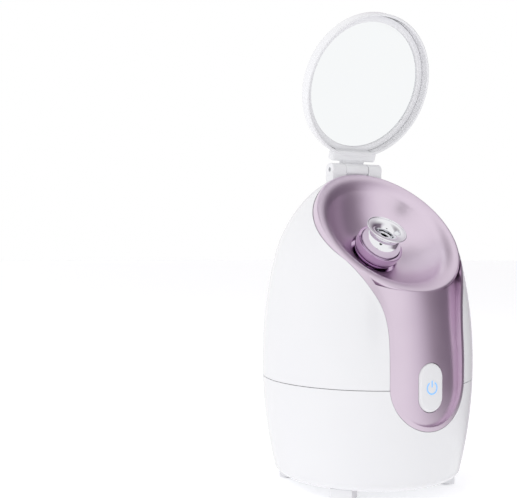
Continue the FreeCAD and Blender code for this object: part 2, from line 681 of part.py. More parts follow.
def pill(name, grow, front, back):
    """The button's outline, grown, between two values of y."""
    half = f"(button_half_width + ({grow}))"
    rise = "(button_half_height - button_half_width)"
    depth = f"({back}) - ({front})"
    caps = [cylinder(f"{name}_cap_{sign}", half, depth, y=front, z=f"button_height {sign} {rise}", along="y")
            for sign in "+-"]
    caps[0].Label = name + "_upper_end"
    caps[1].Label = name + "_lower_end"
    middle = block(f"{name}_middle", (f"-{half}", half), (front, back),
                   (f"button_height - {rise}", f"button_height + {rise}"))
    return fuse(name, *caps, middle)


def make_column_panel():
    gap = "-trim_gap"
    border = common("panel_form", trim_outline("panel_trim", gap),
                    egg("panel_outer", "lip_inset", "column_foot - 20"))
    pocket = cut("panel_pocket", trim_outline("panel_inner_trim", f"{gap} - lip_width"),
                 belly("panel_face", "panel_recess", "10", "body_height"))
    posts = [cylinder(f"switch_post_{sign}", "post_radius", f"{SWITCH_BACK} - ({FACE_Y} + 1.4)",
                      y=f"{FACE_Y} + 1.4", z=f"button_height {sign} post_offset", along="y")
             for sign in "+-"]
    plate = cut("panel_plate", border, pocket,
                belly("panel_back", "panel_recess + panel_wall", "5", "body_height + 5"))
    bowl_room = rim_frame(cylinder("panel_bowl_room", "rim_radius + trim_gap", "80", z="0"))
    bowl_room_low = rim_frame(cylinder("panel_bowl_skirt", "rim_radius + trim_gap", "40"))
    bowl_room_low.setExpression("Placement.Base.y", bound(f"{RIM_Y} + 40 * sin(bowl_tilt)"))
    bowl_room_low.setExpression("Placement.Base.z", bound(f"{RIM_Z} - 40 * cos(bowl_tilt)"))
    return cut("column_panel", fuse("panel_with_posts", plate, *posts), bowl_room, bowl_room_low,
               pill("panel_button_hole", "play", "-100", f"{FACE_Y} + 5"))


def make_button():
    front = belly("button_face", "panel_recess - button_proud", "10", "body_height")
    cap = common("button_cap", pill("button_pill", "0", "-100", FLANGE_FACE), front)
    flange = pill("button_flange", "button_lip", FLANGE_FACE, f"{FLANGE_FACE} + 1.4")
    bored = cut("button_solid", fuse("button_blank", cap, flange), icon_solid("icon_room",
                                                                              f"{FLANGE_FACE} + 1.4"))
    icon = common("button_icon", icon_solid("icon_stroke", f"{FLANGE_FACE} + 1.4"),
                  belly("icon_face", "panel_recess - button_proud", "10", "body_height"))
    return bored, icon


def icon_solid(name, back):
    """The power symbol: an open ring with a bar in its gap, run back through the cap."""
    depth = f"({back}) + 100"
    ring = cut(name + "_ring",
               cylinder(name + "_disc", "icon_radius", depth, y="-100", z="button_height", along="y"),
               cylinder(name + "_hole", "icon_radius - icon_line", depth, y="-100", z="button_height",
                        along="y"),
               block(name + "_gap", ("-1.3 * icon_line", "1.3 * icon_line"), ("-100", back),
                     ("button_height", "button_height + 2 * icon_radius")))
    bar = block(name + "_bar", ("-icon_line / 2", "icon_line / 2"), ("-100", back),
                ("button_height + icon_line / 2", "button_height + icon_radius + icon_line / 2"))
    return group(name, [ring, bar])


# ---------------------------------------------------------------- hinge and lid
def hinge_screw_places():
    middle = "((hinge_length + lid_knuckle) / 4)"
    return f"-{middle}", middle


def make_hinge():
    legs = []
    for sign in (-1, 1):
        near = "(lid_knuckle / 2 + play)"
        far = "(hinge_length / 2)"
        low, high = (f"-{far}", f"-{near}") if sign < 0 else (near, far)
        barrel = cylinder(f"knuckle_{'l' if sign < 0 else 'r'}", "knuckle_radius", f"({high}) - ({low})",
                          low, HINGE_Y, HINGE_Z, along="x")
        leg = block(f"hinge_leg_{'l' if sign < 0 else 'r'}", (low, high),
                    (f"{HINGE_Y} - knuckle_radius + 0.4", f"{HINGE_Y} + knuckle_radius"),
                    (f"{HINGE_Z} - bracket_foot", HINGE_Z))
        legs += [barrel, leg]
    bridge = block("hinge_bridge", ("-hinge_length / 2", "hinge_length / 2"),
                   (f"{HINGE_Y} - knuckle_radius + 0.4", f"{HINGE_Y} + knuckle_radius"),
                   (f"{HINGE_Z} - bracket_foot", f"{HINGE_Z} - knuckle_radius - 0.6"))
    pin_hole = cylinder("bracket_pin_hole", "pin_radius", "hinge_length + 10", "-hinge_length / 2 - 5",
                        HINGE_Y, HINGE_Z, along="x")
    screw_holes = [cylinder(f"bracket_screw_hole_{n}", "hinge_screw", "26.5", x, HINGE_Y, f"{HINGE_Z} - 28.5")
                   for n, x in enumerate(hinge_screw_places())]
    rim_room = rim_frame(cylinder("bracket_rim_room", "rim_radius + play", "100"))
    rim_room.setExpression("Placement.Base.y", bound(f"{RIM_Y} + 50 * sin(bowl_tilt)"))
    rim_room.setExpression("Placement.Base.z", bound(f"{RIM_Z} - 50 * cos(bowl_tilt)"))
    bracket = cut("hinge_bracket", fuse("bracket_blank", *legs, bridge),
                  egg("bracket_body_room", "0", "50"), pin_hole, *screw_holes, rim_room)
    pin = cylinder("hinge_pin", "pin_radius", "hinge_length - 1", "(1 - hinge_length) / 2", HINGE_Y, HINGE_Z,
                   along="x")
    screws = []
    for number, x in enumerate(hinge_screw_places()):
        head = cylinder(f"hinge_screw_head_{number}", "2 * hinge_screw", "2", x, HINGE_Y,
                        f"{HINGE_Z} - 11.5 - wall")
        shank = cylinder(f"hinge_screw_shank_{number}", "hinge_screw", "7.5 + wall", x, HINGE_Y,
                         f"{HINGE_Z} - 9.5 - wall")
        screws.append(fuse(f"hinge_screw_{number}", head, shank))
    return bracket, pin, group("hinge_screws", screws)


def make_lid():
    half = "lid_radius"
    dome_r = "(lid_radius - lid_edge)"
    dome_z = "(lid_side + lid_edge)"
    crown = f"({dome_z} + (dome_radius - sqrt(dome_radius^2 - {dome_r}^2)))"
    ledge = "(mirror_height + mirror_thickness)"
    points = [
        (half, "lid_rest"),
        (half, "lid_side"),
        (dome_r, dome_z),
        ("0", crown),
        ("0", f"{crown} - lid_wall"),
        ("mirror_radius - 1.5", ledge),
        (f"{half} - lid_wall", ledge),
        (f"{half} - lid_wall", "lid_rest"),
    ]
    arcs = {1: ("lid_edge", 1), 2: ("dome_radius", 1)}
    cap = turned("lid_cap", points, arcs)
    arm = block("lid_arm", ("-arm_width / 2", "arm_width / 2"), (f"{half} - 2 * lid_wall", "arm_end"),
                ("lid_rest + 0.2", "lid_side + 0.6"))
    web = block("lid_web", ("-lid_knuckle / 2", "lid_knuckle / 2"), (f"{half} - 2 * lid_wall", "hinge_reach"),
                ("lid_rest + 0.2", "lid_side - 3"))
    knuckle = cylinder("lid_barrel", "knuckle_radius", "lid_knuckle", "-lid_knuckle / 2", "hinge_reach",
                       "-hinge_drop", along="x")
    cheek = block("lid_cheek", ("-lid_knuckle / 2", "lid_knuckle / 2"),
                  ("hinge_reach - knuckle_radius + 0.6", "hinge_reach + 1.5"), ("-hinge_drop",
                                                                                "lid_side - 3"))
    bore = cylinder("lid_pin_bore", "pin_radius + pin_play", "lid_knuckle + 4", "-lid_knuckle / 2 - 2",
                    "hinge_reach", "-hinge_drop", along="x")
    hollow = cylinder("lid_hollow", f"{half} - lid_wall", f"{ledge} - lid_rest + 1", z="lid_rest - 1")
    shell = cut("lid_shell", fuse("lid_blank", cap, arm, web, knuckle, cheek), bore, hollow)
    mirror = cylinder("lid_glass", "mirror_radius", "mirror_thickness", z="mirror_height")
    bezel_outer = f"({half} - lid_wall)"
    bezel = cut("bezel_ring", cylinder("bezel_disc", bezel_outer, "bezel_height",
                                       z="mirror_height - bezel_height"),
                cylinder("bezel_hole", f"{bezel_outer} - bezel_width", "10", z="mirror_height - 5"))
    return lid_frame(shell), lid_frame(group("lid_mirror", [mirror])), lid_frame(bezel)


# ---------------------------------------------------------------- nozzle
def make_nozzle():
    throat = "(ball_cut - 1.5)"
    ball_points = [
        ("ball_bore", "-sqrt(ball_radius^2 - ball_bore^2)"),
        ("ball_radius", "0"),
        ("sqrt(ball_radius^2 - ball_cut^2)", "ball_cut"),
        ("flare_neck", "ball_cut"),
        ("flare_neck", throat),
        ("ball_bore", throat),
    ]
    sphere = turned("ball_section", ball_points, {0: ("ball_radius", 1), 1: ("ball_radius", 1)})
    pin_end = "(ball_radius + trunnion_reach)"
    pins = cut("trunnions",
               cylinder("trunnion_rod", "trunnion_radius", f"2 * {pin_end}", f"-{pin_end}", along="x"),
               cylinder("trunnion_gap", "ball_bore + 1", "8", z="-4"))
    nozzle_ball = fuse("nozzle_ball", sphere, pins)
    lip = "(flare_radius - flare_wall)"
    flare_points = [
        ("ball_bore", throat),
        ("flare_neck", throat),
        ("flare_neck", "ball_cut + 1"),
        ("flare_radius", "flare_height - 0.5"),
        ("flare_radius", "flare_height"),
        (lip, "flare_height"),
        ("ball_bore", "ball_cut"),
    ]
    flare = turned("nozzle_flare", flare_points, {2: ("flare_bend", -1), 5: ("flare_bend + 2", 1)})
    ring = cut("insert_ring", cylinder("insert_outer", "ball_bore", "2", z="ball_cut - 4"),
               cylinder("insert_inner", "ball_bore - 1", "2", z="ball_cut - 4"))
    bars = [block("insert_bar_x", ("-ball_bore + 0.5", "ball_bore - 0.5"), ("-0.5", "0.5"),
                  ("ball_cut - 4", "ball_cut - 2.6")),
            block("insert_bar_y", ("-0.5", "0.5"), ("-ball_bore + 0.5", "ball_bore - 0.5"),
                  ("ball_cut - 4", "ball_cut - 2.6"))]
    insert = fuse("nozzle_insert", ring, *bars)
    # collar and seat are drawn in the rim's frame, about the bowl's axis
    socket = "(ball_radius + play)"
    foot = "(-seat_land - play - flange_height)"
    socket_mouth = f"sqrt({socket}^2 - socket_reach^2)"
    collar_points = [
        (socket_mouth, foot),
        ("collar_flange", foot),
        ("collar_flange", f"{foot} + flange_height"),
        ("collar_radius", f"{foot} + flange_height"),
        ("collar_radius", "-ball_depth + collar_top - 1"),
        ("collar_radius - 1", "-ball_depth + collar_top"),
        (f"sqrt({socket}^2 - collar_top^2)", "-ball_depth + collar_top"),
        (socket, "-ball_depth"),
        (socket_mouth, "-ball_depth - socket_reach"),
    ]
    hole_end = f"({pin_end} + play)"
    collar = cut("nozzle_collar",
                 turned("collar_section", collar_points, {4: ("1", 1), 6: (socket, -1), 7: (socket, -1)}),
                 cylinder("trunnion_holes", "trunnion_radius + trunnion_play", f"2 * {hole_end}",
                          f"-{hole_end}", z="-ball_depth", along="x"))
    seat_foot = "(-seat_land - seat_depth)"
    seat_points = [
        ("stub_bore", f"{seat_foot} - stub_length"),
        ("stub_radius", f"{seat_foot} - stub_length"),
        ("stub_radius", seat_foot),
        ("seat_radius", seat_foot),
        ("seat_radius", "-seat_land"),
        ("collar_flange + play", "-seat_land"),
        ("collar_flange + play", f"{foot} - play"),
        ("collar_flange - 3", f"{foot} - play"),
        ("collar_flange - 3", f"{seat_foot} + seat_floor"),
        ("stub_bore", f"{seat_foot} + seat_floor"),
    ]
    needle_foot = f"{seat_foot} - 3"
    seat = cut("nozzle_seat", turned("seat_section", seat_points),
               cylinder("needle_hole", "needle_radius", "20", x="needle_offset", z=f"{seat_foot} - 9"))
    needle = group("ion_needle", [cylinder("needle_rod", "needle_radius", "needle_length - 1.5",
                                           x="needle_offset", z=needle_foot)])
    return (nozzle_frame(nozzle_ball), nozzle_frame(flare), nozzle_frame(insert), rim_frame(collar),
            rim_frame(seat), rim_frame(needle))


# ---------------------------------------------------------------- tank and dock
def make_tank():
    face = f"({BAY_Y} + play)"
    outer = common("tank_outer", egg("tank_egg", "0", UPPER_FOOT),
                   block("tank_block", ("-100", "100"), (face, "100"), (UPPER_FOOT, "tank_top")))
    ribs = common("tank_ribs", egg("rib_egg", "-grip_rise", UPPER_FOOT),
                  group("rib_blocks", [block(f"rib_{n}", ("-14", "14"), (f"{face} + 1", "100"),
                                             (f"grip_height + {n} * grip_spacing",
                                              f"grip_height + {n} * grip_spacing + 2"))
                                       for n in range(4)]))
    room = common("tank_room", egg("tank_inner", "tank_wall", f"{UPPER_FOOT} + tank_wall"),
                  block("tank_room_block", ("-100", "100"), (f"{face} + tank_wall", "100"),
                        (f"{UPPER_FOOT} + tank_wall", "tank_top - tank_wall")))
    neck = cylinder("tank_neck", "neck_bore + neck_wall", "neck_length + tank_wall / 2", y=NECK_Y,
                    z=f"{UPPER_FOOT} - neck_length")
    bore = cylinder("tank_neck_bore", "neck_bore", "neck_length + 2 * tank_wall", y=NECK_Y,
                    z=f"{UPPER_FOOT} - neck_length - 0.5")
    tank = cut("tank_shell", fuse("tank_blank", outer, ribs, neck), room, bore)
    cage_z = f"{CAP_BOTTOM} + cap_floor"
    cage = cut("valve_cage", cylinder("cage_outer", "neck_bore - play", "cage_height", y=NECK_Y, z=cage_z),
               cylinder("cage_inner", "neck_bore - play - cage_wall", "cage_height - cage_wall", y=NECK_Y,
                        z=cage_z),
               cylinder("cage_guide", "valve_stem + 0.25", "cage_height + 9", y=NECK_Y, z=cage_z),
               block("cage_window", ("-neck_bore", "neck_bore"), (f"{NECK_Y} - 1.6", f"{NECK_Y} + 1.6"),
                     (f"{cage_z} + 0.8", f"{cage_z} + cage_height - 1.4")))
    cap = cut("tank_cap",
              fuse("cap_blank",
                   cut("cap_cup", cylinder("cap_outer", CAP_RADIUS, "cap_height - play", y=NECK_Y,
                                           z=CAP_BOTTOM),
                       cylinder("cap_inner", "neck_bore + neck_wall + 0.2", "cap_height", y=NECK_Y,
                                z=f"{CAP_BOTTOM} + cap_floor")), cage),
              cylinder("cap_outlet", "valve_bore", "cap_floor + 2", y=NECK_Y, z=f"{CAP_BOTTOM} - 1"))
    seal = cut("cap_seal", cylinder("seal_disc", "neck_bore + neck_wall", "1.2", y=NECK_Y,
                                    z=f"{UPPER_FOOT} - neck_length - 1.2"),
               cylinder("seal_hole", "neck_bore - 0.2", "9", y=NECK_Y, z=f"{UPPER_FOOT} - neck_length - 4"))
    disc_z = f"{CAP_BOTTOM} + cap_floor"
    plunger = fuse("valve_plunger",
                   cylinder("valve_disc", "valve_head - 0.4", "1.2", y=NECK_Y, z=f"{disc_z} + 0.02"),
                   cylinder("valve_rod", "valve_stem", "cap_floor + valve_tail + cage_height", y=NECK_Y,
                            z=f"{CAP_BOTTOM} - valve_tail"))
    return tank, cap, seal, plunger


def make_valve_spring():
    """A light compression spring round the valve's stem, from its disc to the neck."""
    size = {name: value(name) for name in ("valve_stem", "spring_wire")}
    radius = size["valve_stem"] + 2.5 * size["spring_wire"]
    low = value(f"{CAP_BOTTOM} + cap_floor + 1.3") + size["spring_wire"]
    helix = Part.makeHelix(1.2, 3.6, radius)
    start = Vector(radius, 0, 0)
    ring = Part.Wire(Part.makeCircle(size["spring_wire"], start, Vector(0, 1, 0)))
    coil = Part.Wire(helix).makePipeShell([ring], True, True)
    thing = doc.addObject("Part::Feature", "valve_spring")
    thing.Shape = coil
    thing.Placement = Placement(Vector(0, value(NECK_Y), low), Rotation())
    return thing


def make_dock():
    rim_back = side("seam_height - 8", "wall")
    deck = common("deck_plate",
                  cylinder("deck_disc", f"{rim_back} - trim_gap", "deck_thickness",
                           z=f"{BASE_TOP} - deck_sink - deck_thickness"),
                  block("deck_block", ("-100", "100"), (f"{BAY_Y} - bay_wall", "100"), ("0", "200")))
    well = cylinder("well_wall_solid", f"{CAP_RADIUS} + play + well_wall",
                    f"{BASE_TOP} - deck_sink - {WELL_FLOOR} + well_floor", y=NECK_Y,
                    z=f"{WELL_FLOOR} - well_floor")
    room = cylinder("well_room", f"{CAP_RADIUS} + play", "60", y=NECK_Y, z=WELL_FLOOR)
    nipple = cylinder("dock_nipple", "nipple_radius", "nipple_length + 0.5", y=NECK_Y,
                      z=f"{WELL_FLOOR} - well_floor - nipple_length")
    drain = cylinder("dock_drain", "nipple_bore", "30", y=NECK_Y, z=f"{WELL_FLOOR} - 20")
    slots = block("dock_slot", ("-valve_bore - 1", "valve_bore + 1"), (f"{NECK_Y} - 0.6", f"{NECK_Y} + 0.6"),
                  (f"{WELL_FLOOR} - 1", f"{WELL_FLOOR} + 0.5"))
    inside = common("dock_solid", fuse("dock_blank", deck, well, nipple),
                    egg("dock_inside", "wall + trim_gap", f"{PLATE_TOP} + 8"))
    dock = cut("tank_dock", inside, room, drain, slots)
    seal = cut("dock_seal", cylinder("dock_seal_disc", f"{CAP_RADIUS} + play + well_wall - 0.4",
                                     "deck_sink - 0.1",
                                     y=NECK_Y, z=f"{BASE_TOP} - deck_sink"),
               cylinder("dock_seal_hole", f"{CAP_RADIUS} + play", "9", y=NECK_Y, z=f"{BASE_TOP} - 5"))
    return dock, seal


# ---------------------------------------------------------------- boiler and hoses
def boiler_leg_places():
    reach = "(boiler_leg_circle * sqrt(0.5))"
    for x_sign in ("", "-"):
        for y_sign in ("+", "-"):
            yield f"{x_sign}{reach}", f"{BOILER_Y} {y_sign} {reach}"


def make_boiler():
    top = "boiler_height"
    cup_points = [
        ("0", "0"),
        ("boiler_radius", "0"),
        ("boiler_radius", f"{top} - flange_thickness"),
        ("boiler_flange", f"{top} - flange_thickness"),
        ("boiler_flange", top),
        ("boiler_radius - boiler_wall", top),
        ("boiler_radius - boiler_wall", "boiler_wall"),
        ("0", "boiler_wall"),
    ]
    cup = place(turned("cup_section", cup_points), y=BOILER_Y, z="boiler_floor")
    inlet_z = "boiler_floor + inlet_rise"
    stub = cylinder("cup_stub", "nipple_radius", "nipple_length + boiler_wall",
                    y=f"{BOILER_Y} + boiler_radius - boiler_wall",
                    z=inlet_z, along="y")
    bore = cylinder("cup_stub_bore", "nipple_bore", "20", y=f"{BOILER_Y} + boiler_radius - boiler_wall - 4",
                    z=inlet_z, along="y")

    def screw_holes(name, radius):
        return [cylinder(f"{name}_{n}", radius, "60", x, y, "boiler_floor")
                for n, (x, y) in enumerate(boiler_leg_places())]

    boiler = cut("boiler_cup", fuse("cup_blank", cup, stub), bore, *screw_holes("cup_screw",
                                                                                "board_screw + 0.2"))
    gasket_z = "boiler_floor + boiler_height"
    gasket = cut("boiler_gasket", cylinder("gasket_disc", "boiler_flange", "gasket_height", y=BOILER_Y,
                                           z=gasket_z),
                 cylinder("gasket_hole", "boiler_radius - boiler_wall", "9", y=BOILER_Y, z=f"{gasket_z} - 4"),
                 *screw_holes("gasket_screw", "board_screw + 0.2"))
    cover_z = f"{gasket_z} + gasket_height"
    cover = cut("boiler_cover",
                fuse("cover_blank", cylinder("cover_disc", "boiler_flange", "cover_height", y=BOILER_Y,
                                             z=cover_z),
                     cylinder("cover_stub", "stub_radius", "cover_height + stub_length", y=BOILER_Y,
                              z=cover_z)),
                cylinder("cover_bore", "stub_bore", "40", y=BOILER_Y, z=f"{cover_z} - 9"),
                *screw_holes("cover_screw", "board_screw + 0.2"))
    heater = cylinder("heater_disc", "boiler_radius", "heater_height", y=BOILER_Y,
                      z="boiler_floor - heater_height")
    sensor_z = "boiler_floor - heater_height - thermostat_height"
    sensor = cylinder("thermostat_can", "thermostat_radius", "thermostat_height", y=BOILER_Y, z=sensor_z)
    fuse_body = cylinder("fuse_tube", "1.8", "11", x="thermostat_radius + 2.1", y=f"{BOILER_Y} - 5.5",
                         z="boiler_floor - heater_height - 1.8", along="y")
    screws = []
    for number, (x, y) in enumerate(boiler_leg_places()):
        head = cylinder(f"boiler_screw_head_{number}", "2 * board_screw", "2", x, y, COVER_TOP)
        shank = cylinder(f"boiler_screw_shank_{number}", "board_screw", "cover_height + gasket_height + 8",
                         x, y,
                         f"{COVER_TOP} - cover_height - gasket_height - 8")
        screws.append(fuse(f"boiler_screw_{number}", head, shank))
    return (boiler, gasket, cover, group("heater_plate", [heater]), group("thermostat", [sensor]),
            group("thermal_fuse", [fuse_body]), group("boiler_screws", screws))


def make_hoses():
    reach = f"(({BOILER_Y} - {RIM_Y}) / sin(bowl_tilt))"
    bend_length = "(steam_bend * tan(bowl_tilt / 2))"
    corner_z = f"({RIM_Z} - {reach} * cos(bowl_tilt))"
    start_z = f"({COVER_TOP} + stub_length - hose_grip)"
    seat_foot = "(seat_land + seat_depth)"
    tube = bent_tube("steam_tube", "stub_radius + hose_wall", "stub_radius",
                     f"{corner_z} - {bend_length} - {start_z}",
                     "steam_bend", "bowl_tilt",
                     f"{reach} - {bend_length} - {seat_foot} - stub_length + hose_grip")
    place(tube, y=BOILER_Y, z=start_z)
    level = "(boiler_floor + inlet_rise)"
    bottom = f"({WELL_FLOOR} - well_floor - nipple_length)"
    feed_start = f"({BOILER_Y} + boiler_radius + nipple_length - hose_grip + 1)"
    bend = "nipple_radius * 3"
    hose = bent_tube("feed_hose", "nipple_radius + hose_wall", "nipple_radius",
                     f"{NECK_Y} - {bend} - {feed_start}", bend, "90",
                     f"{bottom} + hose_grip - 1 - {level} - {bend}")
    place(hose, y=feed_start, z=level, angle="-90")
    return tube, hose


# ---------------------------------------------------------------- electrics
def board_post_places():
    for x in ("-(board_half - post_inset)", "board_half - post_inset"):
        for y in ("post_inset - board_front", "-board_back - post_inset"):
            yield x, y


def make_electrics():
    board_top = "(board_rise + board_thickness)"
    board = cut("main_board", block("board_blank", ("-board_half", "board_half"), ("-board_front",
                                                                                   "-board_back"),
                                    ("board_rise", board_top)),
                *[cylinder(f"board_hole_{n}", "board_screw + 0.2", "9", x, y, "board_rise - 4")
                  for n, (x, y) in enumerate(board_post_places())])
    screws = []
    for number, (x, y) in enumerate(board_post_places()):
        head = cylinder(f"board_screw_head_{number}", "2 * board_screw", "1.6", x, y, board_top)
        shank = cylinder(f"board_screw_shank_{number}", "board_screw", "board_thickness + 4", x, y,
                         "board_rise - 4")
        screws.append(fuse(f"board_screw_{number}", head, shank))
    capacitor = cylinder("capacitor_can", "6", "11", "-18", "-24", board_top)
    transformer = block("transformer_core", ("-6", "12"), ("-32", "-18"), (board_top, f"{board_top} + 13"))
    relay = block("relay_case", ("16", "27"), ("-34", "-19"), (board_top, f"{board_top} + 10"))
    ion_back = f"({BAY_Y} - bay_wall)"
    ion = block("ion_case", ("-14", "14"), (f"{ion_back} - 12", ion_back), ("seam_height + 22",
                                                                            "seam_height + 42"))
    face = side("inlet_height + inlet_half_height")
    housing = common("inlet_housing", egg("inlet_egg", "0.3", "foot_height + 4"),
                     block("inlet_block", ("-inlet_half_width", "inlet_half_width"),
                           (f"{face} - inlet_depth", "100"),
                           ("inlet_height - inlet_half_height", "inlet_height + inlet_half_height")))
    socket = block("inlet_socket", ("-socket_half_width", "socket_half_width"), (f"{face} - socket_depth",
                                                                                 "100"),
                   ("inlet_height - socket_half_height", "inlet_height + socket_half_height"))
    holes = [cylinder(f"contact_hole_{sign}", "contact_radius", "30", f"{sign}contact_spacing / 2",
                      f"{face} - inlet_depth - 4", "inlet_height", along="y") for sign in ("+", "-")]
    holes[0].Label = "contact_hole_right"
    holes[1].Label = "contact_hole_left"
    inlet = cut("power_inlet", housing, socket, *holes)
    pins = [cylinder(f"contact_{n}", "contact_radius", "inlet_depth - 1", f"{sign}contact_spacing / 2",
                     f"{face} - inlet_depth - 3", "inlet_height", along="y") for n, sign in enumerate(("+",
                                                                                                       "-"))]
    switch_z = "(button_height - switch_drop)"
    switch_board = group("switch_board", [
        block("switch_board_blank", ("-switch_board_width / 2", "switch_board_width / 2"),
              (SWITCH_BACK, f"{SWITCH_BACK} + board_thickness"),
              ("button_height - switch_board_half", "button_height + switch_board_half"))])
    switch = cut("tact_switch",
                 block("switch_case", ("-switch_half", "switch_half"), (SWITCH_FACE, SWITCH_BACK),
                       (f"{switch_z} - switch_half", f"{switch_z} + switch_half")),
                 cylinder("switch_bore", "plunger_radius + 0.2", "switch_depth - 0.7", y=SWITCH_FACE,
                          z=switch_z,
                          along="y"))
    plunger = group("switch_plunger", [
        cylinder("plunger_rod", "plunger_radius", f"{SWITCH_FACE} - ({FLANGE_FACE} + 1.4) + 1.4",
                 y=f"{FLANGE_FACE} + 1.4", z=switch_z, along="y")])
    light = group("power_light", [
        cylinder("light_body", "light_radius",
                 f"{SWITCH_BACK} - ({FLANGE_FACE} + 1.4 + button_travel + play)",
                 y=f"{FLANGE_FACE} + 1.4 + button_travel + play", z="button_height + icon_line", along="y")])
    return {
        "main_board": board,
        "board_screws": group("board_screws", screws),
        "mains_capacitor": group("mains_capacitor", [capacitor]),
        "board_transformer": group("board_transformer", [transformer]),
        "board_relay": group("board_relay", [relay]),
        "ion_generator": group("ion_generator", [ion]),
        "power_inlet": inlet,
        "inlet_contacts": group("inlet_contacts", pins),
        "switch_board": switch_board,
        "tact_switch": switch,
        "switch_plunger": plunger,
        "power_light": light,
    }


# ---------------------------------------------------------------- the assembly
pieces = {}
pieces["base_shell"] = make_base_shell()
pieces["upper_shell"] = make_upper_shell()
pieces["bottom_plate"] = make_bottom_plate()
pieces["base_feet"], pieces["foot_pads"], pieces["base_screws"] = make_feet()
pieces["steam_bowl"] = make_steam_bowl()
pieces["column_panel"] = make_column_panel()
pieces["power_button"], pieces["button_icon"] = make_button()
pieces["hinge_bracket"], pieces["hinge_pin"], pieces["hinge_screws"] = make_hinge()
pieces["lid_shell"], pieces["lid_mirror"], pieces["mirror_bezel"] = make_lid()
(pieces["nozzle_ball"], pieces["nozzle_flare"], pieces["nozzle_insert"], pieces["nozzle_collar"],
 pieces["nozzle_seat"], pieces["ion_needle"]) = make_nozzle()
pieces["tank_shell"], pieces["tank_cap"], pieces["cap_seal"], pieces["valve_plunger"] = make_tank()
pieces["valve_spring"] = make_valve_spring()
pieces["tank_dock"], pieces["dock_seal"] = make_dock()
(pieces["boiler_cup"], pieces["boiler_gasket"], pieces["boiler_cover"], pieces["heater_plate"],
 pieces["thermostat"], pieces["thermal_fuse"], pieces["boiler_screws"]) = make_boiler()
pieces["steam_tube"], pieces["feed_hose"] = make_hoses()
pieces.update(make_electrics())
doc.recompute()

for thing in doc.Objects:
    if "Invalid" in thing.State or "Error" in thing.State:
        raise RuntimeError(f"{thing.Name} failed: {thing.State}")
os.makedirs("parts", exist_ok=True)
for node, thing in pieces.items():
    thing.Label = node
    shape = thing.Shape
    if shape.isNull() or not shape.isValid() or not shape.Solids:
        raise RuntimeError(f"{node} has no sound solid")
for node, thing in pieces.items():
    thing.Shape.exportStep(f"parts/{node}.step")
    print(f"{node}: {len(thing.Shape.Solids)} solid(s), {thing.Shape.Volume:.1f} mm3")
print(len(pieces), "pieces")
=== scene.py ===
"""Facial steamer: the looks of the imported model.

Every place and size is read from the frame: the joints give the axes of the bowl,
the nozzle and the lid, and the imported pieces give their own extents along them.
"""
import json
import math

import bmesh
import bpy
from mathutils import Matrix, Vector


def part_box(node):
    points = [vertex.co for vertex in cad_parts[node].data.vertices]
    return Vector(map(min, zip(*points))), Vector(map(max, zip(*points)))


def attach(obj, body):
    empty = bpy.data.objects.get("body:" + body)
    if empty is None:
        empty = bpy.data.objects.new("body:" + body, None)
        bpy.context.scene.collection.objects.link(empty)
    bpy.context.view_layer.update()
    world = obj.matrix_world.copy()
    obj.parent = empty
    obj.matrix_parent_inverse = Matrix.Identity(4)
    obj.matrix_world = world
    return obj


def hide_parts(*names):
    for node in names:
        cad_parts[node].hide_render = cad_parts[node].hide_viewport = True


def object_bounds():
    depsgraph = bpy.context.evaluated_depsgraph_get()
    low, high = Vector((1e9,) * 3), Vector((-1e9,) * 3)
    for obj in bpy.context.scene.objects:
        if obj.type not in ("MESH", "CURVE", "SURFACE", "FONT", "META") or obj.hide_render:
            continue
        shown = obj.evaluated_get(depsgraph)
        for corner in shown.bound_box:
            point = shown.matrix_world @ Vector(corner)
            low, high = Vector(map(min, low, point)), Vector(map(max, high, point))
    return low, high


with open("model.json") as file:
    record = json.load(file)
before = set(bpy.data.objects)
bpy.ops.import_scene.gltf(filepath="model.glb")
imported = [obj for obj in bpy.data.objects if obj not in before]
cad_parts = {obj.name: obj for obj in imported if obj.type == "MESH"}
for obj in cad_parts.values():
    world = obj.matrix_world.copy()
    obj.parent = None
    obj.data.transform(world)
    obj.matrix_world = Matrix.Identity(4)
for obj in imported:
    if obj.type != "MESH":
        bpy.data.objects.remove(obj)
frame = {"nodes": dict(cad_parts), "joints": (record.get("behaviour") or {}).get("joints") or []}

cad_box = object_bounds()
MM = 0.001
NODES = frame["nodes"]
JOINTS = {joint["name"]: joint for joint in frame["joints"]}
X_AXIS = Vector((1, 0, 0))
Z_AXIS = Vector((0, 0, 1))


# ---------------------------------------------------------------- camera and studio
CAMERA_AZIMUTH = math.radians(-36.5)
CAMERA_DISTANCE = 0.613
CAMERA_HEIGHT = 0.1644
LOOK_AZIMUTH = math.radians(-29.19)
LOOK_DOWN = math.radians(0.73)
LENS = 62.4
SENSOR_WIDTH = 36
LENS_SHIFT = 0.014
NEAREST = 0.01
FORWARD = Vector((-math.sin(LOOK_AZIMUTH), math.cos(LOOK_AZIMUTH), 0))
RIGHT = Vector((FORWARD.y, -FORWARD.x, 0))
# floor and studio: metres, then strengths that keep the paper and the shadows light
FLOOR_RADIUS = 6
FLOOR_GLOW = 0.33
SOFT_LIGHT = 0.68


def linear(hex_colour):
    """An sRGB hex colour as linear RGBA."""
    channels = [int(hex_colour[i:i + 2], 16) / 255 for i in (1, 3, 5)]
    return (*[c / 12.92 if c <= 0.04045 else ((c + 0.055) / 1.055) ** 2.4 for c in channels], 1.0)


def add(tree, kind, inputs=None, **settings):
    """A node with its settings; inputs holds numbers, colours or sockets to link from."""
    node = tree.nodes.new(kind)
    for name, setting in settings.items():
        setattr(node, name, setting)
    for key, source in (inputs or {}).items():
        if isinstance(source, bpy.types.NodeSocket):
            tree.links.new(source, node.inputs[key])
        else:
            node.inputs[key].default_value = source
    return node


